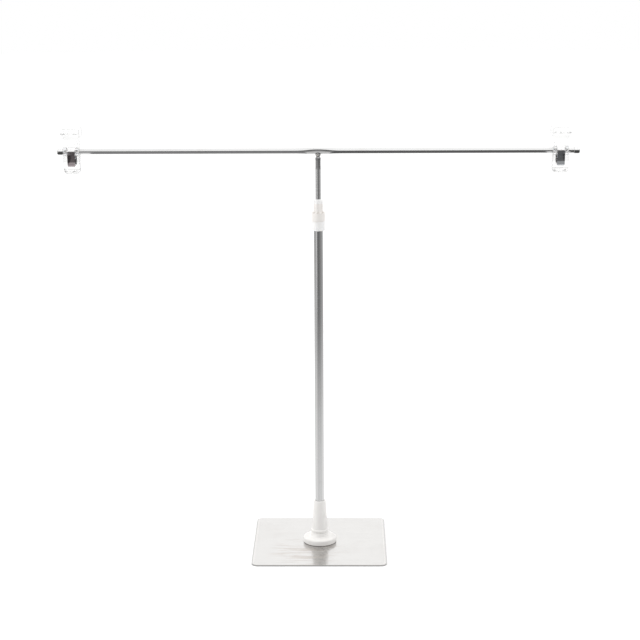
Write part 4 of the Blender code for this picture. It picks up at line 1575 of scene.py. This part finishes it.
@dataclass
class Crossbar:
    """Thin tube along X, pressed flat and welded to the rod's neck at its middle, with a cap on each end."""

    height: float = BAR_HEIGHT
    half_span: float = 0.340
    tube_end: float = 0.3381
    end_edge: float = 0.0002
    radius: float = 0.0035
    wall: float = 0.0006
    flat_reach: float = 0.031
    flat_pinch: float = 0.0011
    flat_spread: float = 0.0006
    flat_squareness: float = 0.25
    flat_tilt: float = math.radians(16)
    flat_stations: int = 56
    arm_stations: int = 14
    cap_radius: float = 0.0043
    cap_bore: float = 0.0038
    cap_length: float = 0.0078
    cap_end_wall: float = 0.0016
    cap_rounding: float = 0.0022
    cap_edges: Triple = (0.0003, 0.0002, 0.0004)
    cap_steps: int = 10
    bead_foot: float = 0.0030
    bead_along: float = 0.0035
    bead_across: float = 0.0027
    bead_drop: float = 0.0024
    bead_rise: float = 0.0009
    bead_core: float = 0.0025
    bead_sink: float = 0.0002
    bead_levels: int = 14
    ripple: float = 0.00013
    ripple_count: int = 11
    ripple_lean: float = 2.2
    ripple_grain: float = 0.8
    ripple_span: Point = (0.15, 0.85)

    def pressed(self, x: float) -> float:
        """Share of the pressed flat at a place along the bar: 1 at the middle, 0 beyond its reach."""
        return 0.5 + 0.5 * math.cos(math.pi * min(1.0, abs(x) / self.flat_reach))

    def section(self, x: float, radius: float) -> list[Vector]:
        """Ring of the bar's wall.

        Args:
            x: place along the bar.
            radius: radius of the round tube's inner or outer wall.

        Returns:
            The ring's points, flattened and tilted where the bar is pressed.
        """
        share = self.pressed(x)
        turn = self.flat_tilt * share
        ring = []
        for angle in spaced(0, 2 * math.pi, ROUND_SEGMENTS)[:-1]:
            across, rise = math.cos(angle), math.sin(angle)
            squared = across * (1 + self.flat_squareness * share * rise * rise)
            y = (radius - self.flat_pinch * share) * squared
            z = (radius + self.flat_spread * share) * rise
            y, z = y * math.cos(turn) - z * math.sin(turn), y * math.sin(turn) + z * math.cos(turn)
            ring.append(Vector((x, y, z + self.height)))
        return ring

    def tube_mesh(self) -> bpy.types.Mesh:
        """The bar's wall as one closed surface, out along the outside and back along the bore.

        Returns:
            The mesh.
        """
        arm = spaced(self.flat_reach, self.tube_end - self.end_edge, self.arm_stations)[1:]
        flat = spaced(-self.flat_reach, self.flat_reach, self.flat_stations)
        places = [-x for x in reversed(arm)] + flat + arm
        ends = (-self.tube_end, self.tube_end)
        outside = [self.section(x, self.radius) for x in places]
        mouths = [self.section(x, self.radius - self.end_edge) for x in ends]
        inside = [self.section(x, self.radius - self.wall) for x in (ends[1], *reversed(places), ends[0])]
        return loft([mouths[0], *outside, mouths[1], *inside], wrap=True)

    def bead_ring(self, share: float) -> list[Vector]:
        """Ring of the weld bead.

        Args:
            share: how far up the bead it lies, from 0 at the neck to 1 at the bar.

        Returns:
            The ring's points, with their ripples.
        """
        bottom = self.height - self.radius - self.flat_spread
        flare = eased(share)
        first, last = self.ripple_span
        strength = self.ripple * math.sin(math.pi * (first + (last - first) * share))
        ring = []
        for angle in spaced(0, 2 * math.pi, ROUND_SEGMENTS)[:-1]:
            along, across = math.cos(angle), math.sin(angle)
            wave = math.sin(self.ripple_count * angle + self.ripple_lean * share)
            grain = noise.noise(Vector((3 * along, 3 * across, 2 * share)))
            swollen = self.bead_foot + (wave + self.ripple_grain * grain) * strength
            reach_x = swollen + (self.bead_along - self.bead_foot) * flare
            reach_y = swollen + (self.bead_across - self.bead_foot) * flare
            top = bottom + self.bead_rise * across * across
            z = bottom - self.bead_drop + (top - bottom + self.bead_drop) * share
            ring.append(Vector((reach_x * along, reach_y * across, z)))
        return ring

    def weld_mesh(self) -> bpy.types.Mesh:
        """Rippled bead that runs up from the neck and saddles the underside of the bar.

        Returns:
            The mesh.
        """
        bottom = self.height - self.radius - self.flat_spread
        rings = [self.bead_ring(share) for share in spaced(0, 1, self.bead_levels)]
        for height in (bottom - self.bead_sink, bottom - self.bead_drop):
            rings.append([Vector((*(point.xy.normalized() * self.bead_core), height)) for point in rings[0]])
        return loft(rings, wrap=True)

    def cap_mesh(self, side: Side) -> bpy.types.Mesh:
        """Rounded cap with a rolled mouth.

        Args:
            side: the half of the bar that it closes.

        Returns:
            The mesh, in its place.
        """
        mouth = self.half_span - self.cap_length
        floor = self.half_span - self.cap_end_wall
        mouth_edge, bore_edge, floor_edge = self.cap_edges
        profile = [
            (0, self.half_span, 0),
            (self.cap_radius, self.half_span, self.cap_rounding),
            (self.cap_radius, mouth, mouth_edge),
            (self.cap_bore, mouth, bore_edge),
            (self.cap_bore, floor, floor_edge),
            (0, floor, 0),
        ]
        mesh = turned(round_corners(profile, closed=False, steps=self.cap_steps), closed=False)
        flip = Matrix.Rotation(math.pi if side is Side.LEFT else 0.0, 4, "Z")
        return shift(mesh, upright_to_x(), flip, Matrix.Translation((0, 0, self.height)))

    def build(self, shop: Workshop) -> None:
        """Make the bar, its weld and its two caps.

        Args:
            shop: takes the pieces.
        """
        shop.piece("crossbar_tube", self.tube_mesh(), BAR_FINISH, "crossbar", "tee")
        shop.piece("weld_bead", self.weld_mesh(), WELD_FINISH, "tee_weld", "tee")
        for side in Side:
            shop.piece(f"{side.label}_cap", self.cap_mesh(side), CAP_FINISH, f"{side.label}_end_cap", "tee")


# The clips


@dataclass
class SpringClip:
    """Clear clip on the crossbar: a milky sleeve, two jaws back to back and a dark leaf spring.

    Heights are measured from the bar's axis, and depths from the clip's middle.
    """

    side: Side
    place: float
    height: float = BAR_HEIGHT
    sleeve_radius: float = 0.004575
    sleeve_bore: float = 0.0038
    sleeve_length: float = 0.0204
    sleeve_edges: Point = (0.0004, 0.0003)
    rise: float = 0.0305
    drop: float = 0.0290
    thickness: float = 0.0022
    seat_radius: float = 0.004875
    seat_angle: float = math.radians(62)
    seat_steps: int = 24
    lug_radius: float = 0.006475
    root_step: float = 0.0017
    crease: float = 0.0190
    lever_spread: float = 0.0084
    pad_spread: float = 0.0114
    tip_gap: float = 0.00025
    throat: float = 0.0039
    throat_step: float = 0.0032
    throat_drop: float = 0.0135
    shoulder_drop: float = 0.0040
    mid_foot: float = 0.0020
    mid_top: float = 0.0120
    waist_rise: float = 0.0156
    grip_length: float = 0.0070
    grip_thickness: float = 0.0026
    tight_bend: float = 0.001
    middle_bend: float = 0.003
    wide_bend: float = 0.006
    tip_edge: float = 0.0016
    pad_edge: float = 0.0008
    half_widths: tuple[float, float, float, float] = (0.0106, 0.0096, 0.0070, 0.0120)
    tip_corner: float = 0.0048
    waist_corner: float = 0.0012
    pad_corner: float = 0.0028
    outline_steps: int = 10
    section_edge: float = 0.00045
    section_share: float = 0.45
    section_steps: int = 4
    level_step: float = 0.0005
    rib_places: tuple[float, ...] = (0.0218, 0.0240, 0.0262, 0.0284)
    rib_height: float = 0.00035
    rib_half: float = 0.0006
    tooth_places: tuple[float, ...] = (-0.0278, -0.0262, -0.0246, -0.0230)
    tooth_depth: float = 0.0004
    tooth_half: float = 0.0005
    window: Triple = (0.0055, 0.0003, 0.0081)
    window_corner: float = 0.0008
    spring_width: float = 0.0100
    spring_thickness: float = 0.0005
    spring_clearance: float = 0.00035
    spring_loop: float = 0.0053
    spring_loop_angle: float = math.radians(35)
    spring_loop_steps: int = 36
    spring_leg_top: float = 0.0014
    spring_reach: float = 0.0190
    spring_lip: float = 0.0016
    spring_flare: float = 0.0008
    spring_bend: float = 0.0008
    spring_corner: float = 0.001
    spring_ends: tuple[float, ...] = (0.0, 0.0002, 0.0005, 0.0009)
    spring_edge: float = 0.00018
    spring_edge_steps: int = 3
    spring_glance: float = 0.0001
    spring_blend: float = 0.0035

    def inner_line(self) -> list[Point]:
        """Inner side of a jaw, from its tip up.

        Returns:
            Points as (depth, height).
        """
        lug = polar(self.lug_radius, self.seat_angle)
        below = [
            (self.tip_gap, -self.drop, 0),
            (self.tip_gap, self.grip_length - self.drop, self.tight_bend),
            (self.throat, -self.throat_drop, self.tight_bend),
            (self.throat, -lug.y - self.throat_step, self.tight_bend),
            (lug.x, -lug.y, 0),
        ]
        above = [
            (lug.x, lug.y, 0),
            (self.seat_radius, lug.y + self.root_step, self.tight_bend),
            (self.lever_spread, self.crease, self.middle_bend),
            (self.pad_spread, self.rise, 0),
        ]
        turns = spaced(-self.seat_angle, self.seat_angle, self.seat_steps)
        seat = [tuple(polar(self.seat_radius, turn)) for turn in turns]
        return round_corners(below, closed=False) + seat + round_corners(above, closed=False)

    def outer_line(self) -> list[Point]:
        """Outer side of a jaw, from its tip up.

        Returns:
            Points as (depth, height).
        """
        hub = self.seat_radius + self.thickness
        grip = self.tip_gap + self.grip_thickness
        corners = [
            (self.tip_gap, -self.drop, 0),
            (grip, -self.drop, self.tip_edge),
            (grip, self.grip_length - self.drop, self.middle_bend),
            (self.throat + self.thickness, -self.throat_drop, self.wide_bend),
            (hub, -self.shoulder_drop, self.wide_bend),
            (hub, self.mid_foot, self.wide_bend),
            (self.lever_spread + self.thickness, self.crease, self.middle_bend),
            (self.pad_spread + self.thickness, self.rise, self.pad_edge),
            (self.pad_spread, self.rise, 0),
        ]
        return round_corners(corners, closed=False, steps=self.outline_steps)[1:-1]

    def half_width_line(self) -> list[Point]:
        """Half of a jaw's width as seen from the front, from its tip up.

        Returns:
            Points as (half width, height).
        """
        jaw, middle, waist, pad = self.half_widths
        corners = [
            (0, -self.drop, 0),
            (jaw, -self.drop, self.tip_corner),
            (jaw, -self.shoulder_drop, self.wide_bend),
            (middle, self.mid_foot, self.wide_bend),
            (middle, self.mid_top, self.waist_corner),
            (waist, self.waist_rise, self.waist_corner),
            (pad, self.crease, self.waist_corner),
            (pad, self.rise, self.pad_corner),
            (0, self.rise, 0),
        ]
        return round_corners(corners, closed=False, steps=self.outline_steps)[1:-1]

    def jaw_section(self, inner: float, outer: float, half_width: float, height: float) -> list[Vector]:
        """Level section of a jaw.

        Args:
            inner: depth of its inner side.
            outer: depth of its outer side.
            half_width: half of its width.
            height: its height.

        Returns:
            A rectangle with rounded corners.
        """
        radius = min(self.section_edge, self.section_share * min(outer - inner, half_width))
        corners = [
            (half_width, inner, radius),
            (half_width, outer, radius),
            (-half_width, outer, radius),
            (-half_width, inner, radius),
        ]
        return [Vector((x, y, height)) for x, y in round_corners(corners, steps=self.section_steps)]

    def window_tool(self) -> bpy.types.Mesh:
        """Solid that cuts a jaw's window.

        Returns:
            The mesh.
        """
        half, foot, top = self.window
        spots = ((half, foot), (half, top), (-half, top), (-half, foot))
        opening = round_corners([(x, z, self.window_corner) for x, z in spots])
        return loft([[Vector((x, y, z)) for x, z in opening] for y in (0.0, 2 * self.pad_spread)])

    def jaw_mesh(self) -> bpy.types.Mesh:
        """One jaw about the bar's axis, on the +Y side, with ribs on its pad and teeth in its grip.

        Returns:
            The mesh.
        """
        lines = [np.array(line) for line in (self.inner_line(), self.outer_line(), self.half_width_line())]
        plain = np.arange(-self.drop, self.rise, self.level_step)
        levels = np.unique(np.round(np.concatenate([plain, *(line[:, 1] for line in lines)]), 5))
        rings = []
        for level in levels[(levels >= -self.drop) & (levels <= self.rise)]:
            inner, outer, half_width = (float(np.interp(level, line[:, 1], line[:, 0])) for line in lines)
            for rib in self.rib_places:
                outer += self.rib_height * max(0.0, 1 - ((level - rib) / self.rib_half) ** 2)
            for tooth in self.tooth_places:
                inner += self.tooth_depth * max(0.0, 1 - abs(level - tooth) / self.tooth_half)
            rings.append(self.jaw_section(inner, outer, half_width, level))
        return carved(loft(rings), self.window_tool())

    def spring_line(self) -> list[Point]:
        """Middle line of the spring, from the rear lip over the sleeve to the front lip.

        Returns:
            Points as (depth, height).
        """
        stand_off = self.spring_thickness / 2 + self.spring_clearance
        leg = self.seat_radius + self.thickness + stand_off
        throat = self.throat + self.thickness + stand_off
        grip = self.tip_gap + self.grip_thickness + stand_off
        lip_top = self.spring_reach - self.spring_lip
        slope = (lip_top - self.throat_drop) / (self.drop - self.grip_length - self.throat_drop)
        lip = throat + (grip - throat) * slope
        start = self.spring_loop_angle
        turns = spaced(start, math.pi - start, self.spring_loop_steps)
        loop = [tuple(polar(self.spring_loop, turn)) for turn in turns]
        corners = [
            (lip + self.spring_flare, -self.spring_reach, 0),
            (lip, -lip_top, self.spring_bend),
            (throat, -self.throat_drop, self.wide_bend),
            (leg, -self.shoulder_drop, self.wide_bend),
            (leg, self.spring_leg_top, self.spring_bend),
            (*loop[0], 0),
        ]
        rear = round_corners(corners, closed=False)
        front = [(-y, z) for y, z in reversed(rear)]
        return rear + loop[1:-1] + front

    def spring_section(self, to_end: float) -> list[Point]:
        """Section of the spring's strip.

        Args:
            to_end: distance to the nearer end, towards which its corners narrow it.

        Returns:
            Points as (x, offset from the middle line).
        """
        lack = self.spring_corner - min(self.spring_corner, to_end)
        inset = self.spring_corner - math.sqrt(max(0.0, self.spring_corner**2 - lack**2))
        half = self.spring_width / 2 - inset
        thick = self.spring_thickness / 2
        spots = ((half, thick), (-half, thick), (-half, -thick), (half, -thick))
        return round_corners([(*spot, self.spring_edge) for spot in spots], steps=self.spring_edge_steps)

    def spring_mesh(self) -> bpy.types.Mesh:
        """The strip, with rounded long edges and corners.

        Returns:
            The mesh.
        """
        line = [Vector(point) for point in self.spring_line()]
        lengths = [0.0]
        for first, second in zip(line, line[1:]):
            lengths.append(lengths[-1] + (second - first).length)
        total = lengths[-1]

        def spot_at(length: float) -> Vector:
            """Point of the middle line at a length along it."""
            return Vector([np.interp(length, lengths, [point[axis] for point in line]) for axis in (0, 1)])

        rings = []
        for place in sorted({*self.spring_ends, *lengths, *(total - end for end in self.spring_ends)}):
            ahead = spot_at(min(total, place + self.spring_glance))
            along = (ahead - spot_at(max(0.0, place - self.spring_glance))).normalized()
            across = Vector((-along.y, along.x))
            here = spot_at(place)
            section = self.spring_section(min(place, total - place))
            rings.append([Vector((x, *(here + across * offset))) for x, offset in section])
        return loft(rings)

    def sleeve_mesh(self) -> bpy.types.Mesh:
        """Sleeve round the bar, with rolled ends.

        Returns:
            The mesh.
        """
        half = self.sleeve_length / 2
        outer_edge, bore_edge = self.sleeve_edges
        corners = [
            (self.sleeve_radius, half, outer_edge),
            (self.sleeve_radius, -half, outer_edge),
            (self.sleeve_bore, -half, bore_edge),
            (self.sleeve_bore, half, bore_edge),
        ]
        return shift(turned(round_corners(corners)), upright_to_x())

    def build(self, shop: Workshop) -> None:
        """Make the clip's sleeve, jaws and spring in their places on the bar.

        Args:
            shop: takes the pieces.
        """
        put = Matrix.Translation((self.place, 0, self.height))
        label = self.side.label
        sleeve = shift(self.sleeve_mesh(), put)
        shop.piece(f"{label}_sleeve_tube", sleeve, MILKY_FINISH, f"{label}_rod_sleeve", f"{label}_sleeve")
        rear = self.jaw_mesh()
        front = shift(rear.copy(), Matrix.Rotation(math.pi, 4, "Z"), put)
        shift(rear, put)
        shop.piece(f"{label}_rear_jaw_moulding", rear, CLEAR_FINISH, f"{label}_rear_jaw", f"{label}_clip")
        shop.piece(f"{label}_front_jaw_moulding", front, CLEAR_FINISH, f"{label}_front_jaw", f"{label}_front")
        leaf = shift(self.spring_mesh(), put)
        spring = shop.piece(f"{label}_spring_leaf", leaf, SPRING_FINISHES[self.side], f"{label}_spring")
        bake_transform(spring)


# The studio


def bare_material(name: str) -> tuple[bpy.types.Material, Tree, Socket]:
    """New material without a shader.

    Args:
        name: the material's name.

    Returns:
        The material, its tree, and the socket that takes its surface.
    """
    made = bpy.data.materials.new(name)
    made.use_nodes = True
    nodes = made.node_tree.nodes
    nodes.remove(nodes["Principled BSDF"])
    return made, Tree(made.node_tree), nodes["Material Output"].inputs["Surface"]


def flat_mesh(name: str, corners: Sequence[Triple], material: bpy.types.Material) -> bpy.types.Mesh:
    """Mesh of one flat face.

    Args:
        name: the mesh's name.
        corners: its corners, in order.
        material: its material.

    Returns:
        The mesh.
    """
    mesh = bpy.data.meshes.new(name)
    mesh.from_pydata(corners, [], [list(range(len(corners)))])
    mesh.materials.append(material)
    return mesh


@dataclass
class Studio:
    """White studio: floor, surroundings, flags under the crossbar, soft lamps and the camera.

    Light Path keeps the background white for the camera and through clear plastic. Reflections see that
    white background behind the stand, and the dimmer room in front of it. A field whose name ends in
    turn or rise holds the X, Y or Z of the direction of sight between which a level changes.
    """

    camera_place: Triple = (0.0307, -2.1555, 0.8305)
    camera_pitch: float = math.radians(-13.473)
    camera_yaw: float = math.radians(-0.775)
    camera_roll: float = math.radians(-0.283)
    focal_length: float = 93.589
    sensor_width: float = 36.0
    sight: Point = (0.05, 60.0)
    floor_radius: float = 9.0
    floor_drop: float = 0.0001
    floor_sides: int = 64
    floor_colour: Triple = (0.86, 0.86, 0.86)
    floor_lift: float = 0.3
    overhead: Point = (1.2, 1.45)
    overhead_turn: Point = (-0.7, 0.7)
    room_levels: Point = (0.18, 1.2)
    room_turn: Point = (-0.25, 0.35)
    back_high: float = 1.5
    back_high_turn: Point = (0.45, 0.8)
    ceiling_rise: Point = (math.sin(math.radians(10)), math.sin(math.radians(19)))
    soft_front: float = 0.38
    soft_front_turn: Point = (-1.0, -0.1)
    soft_sides: Point = (1.38, 1.15)
    soft_sides_turn: Point = (-0.5, 0.5)
    soft_back: float = 0.4
    soft_back_turn: Point = (0.25, 0.75)
    soft_top: float = 1.0
    soft_top_rise: Point = (0.35, 0.9)
    lamp_size: float = 1.6
    lamp_aim: Triple = (0.0, 0.0, 0.25)
    key_place: Triple = (-2.0, -0.3, 1.7)
    key_power: float = 15.0
    fill_place: Triple = (2.0, 0.1, 1.4)
    fill_power: float = 6.0
    arm_flags: Point = (0.3, 0.15)
    end_flags: Point = (0.08, 0.07)
    flag_height: float = 0.515
    flag_depths: Point = (-0.11, 0.01)
    flag_ends: tuple[Point, Point] = ((0.014, 0.3), (0.33, 0.38))
    floor_fades: tuple[tuple[str, float, float, float, float], ...] = (
        ("left", 0.2, 2.2, 1.05, 0.47),
        ("right", 0.1, 1.6, 1.05, 0.43),
        ("front", 0.1, 1.5, 0.9, 0.19),
        ("back", 0.2, 2.2, 1.0, 0.9),
    )
    card_level: float = 0.8
    card_turns: Point = (math.radians(-68), math.radians(-34))
    card_distance: float = 1.5
    card_height: float = 0.9

    def add_camera(self) -> None:
        """Camera at the photograph's place and angle."""
        data = bpy.data.cameras.new("photo_camera")
        data.lens = self.focal_length
        data.sensor_width = self.sensor_width
        data.clip_start, data.clip_end = self.sight
        camera = add_object("photo_camera", data)
        level, rise = math.cos(self.camera_pitch), math.sin(self.camera_pitch)
        ahead = Vector((math.sin(self.camera_yaw) * level, math.cos(self.camera_yaw) * level, rise))
        camera.location = self.camera_place
        roll = Quaternion((0, 0, 1), self.camera_roll)
        camera.rotation_euler = (ahead.to_track_quat("-Z", "Y") @ roll).to_euler()
        bpy.context.scene.camera = camera

    def room(self, tree: Tree, direction: Sequence[Socket]) -> Socket:
        """What reflections see: a dim front, a bright back and a bright ceiling.

        Args:
            tree: the world's tree.
            direction: the X, Y and Z of the direction of sight.

        Returns:
            The room's colour.
        """
        x, y, z = direction
        low = tree.spread(y, *self.room_turn, *self.room_levels)
        above = tree.spread(x, *self.overhead_turn, *self.overhead)
        high = tree.mix(tree.spread(y, *self.back_high_turn), above, (self.back_high,) * 3)
        return tree.mix(tree.spread(z, *self.ceiling_rise), low, high)

    def soft_light(self, tree: Tree, direction: Sequence[Socket]) -> Socket:
        """What lights matte surfaces: bright sides and ceiling, dimmer front and back.

        Args:
            tree: the world's tree.
            direction: the X, Y and Z of the direction of sight.

        Returns:
            The light's colour.
        """
        x, y, z = direction
        sides = tree.spread(x, *self.soft_sides_turn, *self.soft_sides)
        behind = tree.spread(y, *self.soft_back_turn, sides, self.soft_back)
        round_about = tree.spread(y, *self.soft_front_turn, self.soft_front, behind)
        return tree.mix(tree.spread(z, *self.soft_top_rise), round_about, (self.soft_top,) * 3)

    def add_world(self) -> None:
        """Surroundings: white for the camera and through clear plastic, a lit room otherwise."""
        world = bpy.data.worlds.new("studio_room")
        bpy.context.scene.world = world
        world.use_nodes = True
        tree = Tree(world.node_tree)
        direction = tree.parts(tree.add("ShaderNodeTexCoord").outputs["Generated"])
        rays = tree.add("ShaderNodeLightPath").outputs
        soft = self.soft_light(tree, direction)
        seen = tree.mix(rays["Is Glossy Ray"], soft, self.room(tree, direction))
        for kind in ("Is Transmission Ray", "Is Camera Ray"):
            seen = tree.mix(rays[kind], seen, WHITE)
        background = world.node_tree.nodes["Background"]
        tree.feed(background.inputs["Color"], seen)
        background.inputs["Strength"].default_value = 1.0

    def floor_material(self) -> bpy.types.Material:
        """White floor that keeps the stand's shadow, and dims with distance in reflections.

        Returns:
            The material.
        """
        made, tree, surface = bare_material("studio_floor")
        rays = tree.add("ShaderNodeLightPath").outputs
        seen = tree.math("MAXIMUM", rays["Is Camera Ray"], rays["Is Transmission Ray"])
        paint = tree.add("ShaderNodeBsdfDiffuse")
        tree.feed(paint.inputs["Color"], self.floor_colour)
        lit = tree.add("ShaderNodeAddShader")
        tree.feed(lit.inputs[0], paint.outputs[0])
        tree.feed(lit.inputs[1], tree.glow(tree.product(seen, self.floor_lift)))
        only_gloss = tree.math("SUBTRACT", rays["Is Glossy Ray"], seen)
        choice = tree.add("ShaderNodeMixShader")
        tree.feed(choice.inputs[0], tree.math("MAXIMUM", only_gloss, 0.0))
        tree.feed(choice.inputs[1], lit.outputs[0])
        tree.feed(choice.inputs[2], tree.glow(self.mirrored_level(tree)))
        tree.feed(surface, choice.outputs[0])
        return made

    def mirrored_level(self, tree: Tree) -> Socket:
        """Brightness of the floor in reflections, by distance and direction from the stand.

        Args:
            tree: the floor material's tree.

        Returns:
            The brightness's socket.
        """
        x, y, _ = tree.parts(tree.add("ShaderNodeNewGeometry").outputs["Position"])
        square = tree.math("ADD", tree.product(x, x), tree.product(y, y))
        distance = tree.math("SQRT", tree.math("MAXIMUM", square, 1e-6))
        total: Value = 0.0
        ways = {"left": (x, -1.0), "right": (x, 1.0), "front": (y, -1.0), "back": (y, 1.0)}
        for name, near, far, near_level, far_level in self.floor_fades:
            toward = tree.math("DIVIDE", tree.product(*ways[name]), distance)
            toward = tree.math("MAXIMUM", toward, 0.0)
            level = tree.spread(distance, near, far, near_level, far_level)
            total = tree.math("ADD", total, tree.product(tree.product(toward, toward), level))
        return total

    def add_floor(self) -> None:
        """Round floor just under the plate."""
        turns = spaced(0, 2 * math.pi, self.floor_sides)[:-1]
        ring = [(*polar(self.floor_radius, turn), -self.floor_drop) for turn in turns]
        floor = add_object("floor", flat_mesh("floor", ring, self.floor_material()))

    def add_card(self, name: str, corners: Sequence[Triple], level: float) -> None:
        """Card that only reflections see.

        Args:
            name: the card's name.
            corners: its four corners.
            level: its brightness.
        """
        paint, tree, surface = bare_material(name)
        tree.feed(surface, tree.glow(level))
        card = add_object(name, flat_mesh(name, corners, paint))
        card.visible_camera = False
        card.visible_diffuse = False
        card.visible_transmission = False
        card.visible_shadow = False
        card.visible_volume_scatter = False

    def add_cards(self) -> None:
        """Dark flags under the crossbar and its caps, and a pale card on the left that lights the mast."""
        front, back = self.flag_depths
        kinds = (("arm", self.arm_flags), ("end", self.end_flags))
        for (part, levels), (near, far) in zip(kinds, self.flag_ends):
            for side, level in zip(Side, levels):
                spots = ((near, front), (far, front), (far, back), (near, back))
                corners = [(x * side.value, y, self.flag_height) for x, y in spots]
                self.add_card(f"{side.label}_{part}_flag", corners, level)
        first, last = (polar(self.card_distance, turn - math.pi / 2) for turn in self.card_turns)
        corners = [(*first, 0.0), (*last, 0.0), (*last, self.card_height), (*first, self.card_height)]
        self.add_card("left_card", corners, self.card_level)

    def add_lamp(self, name: str, place: Triple, power: float) -> None:
        """Soft square lamp that looks at the stand.

        Args:
            name: the lamp's name.
            place: where it hangs.
            power: its power in watts.
        """
        data = bpy.data.lights.new(name, "AREA")
        data.size = self.lamp_size
        data.energy = power
        lamp = add_object(name, data)
        lamp.location = place
        aim = Vector(self.lamp_aim) - Vector(place)
        lamp.rotation_euler = aim.to_track_quat("-Z", "Y").to_euler()
        lamp.visible_glossy = False
        lamp.visible_camera = False
        lamp.visible_transmission = False

    def build(self) -> None:
        """Set the studio up."""
        self.add_camera()
        self.add_world()
        self.add_floor()
        self.add_cards()
        self.add_lamp("key_lamp", self.key_place, self.key_power)
        self.add_lamp("fill_lamp", self.fill_place, self.fill_power)
        bpy.context.scene.view_settings.view_transform = "Standard"
        log.info("studio with a floor, flags, a card and two lamps")


def main() -> None:
    """Build the stand from the table up, then the studio round it."""
    logging.basicConfig(level=logging.INFO, format="%(name)s: %(message)s")
    shop = Workshop()
    sub_assemblies = [
        BasePlate(),
        BaseSocket(),
        ConeNut(),
        LowerTube(),
        HeightLock(),
        UpperRod(),
        Crossbar(),
        SpringClip(Side.LEFT, -0.321),
        SpringClip(Side.RIGHT, 0.315),
    ]
    for sub_assembly in sub_assemblies:
        sub_assembly.build(shop)
    Studio().build()
    log.info("%d pieces dressed", shop.count)


if __name__ == "__main__":
    main()
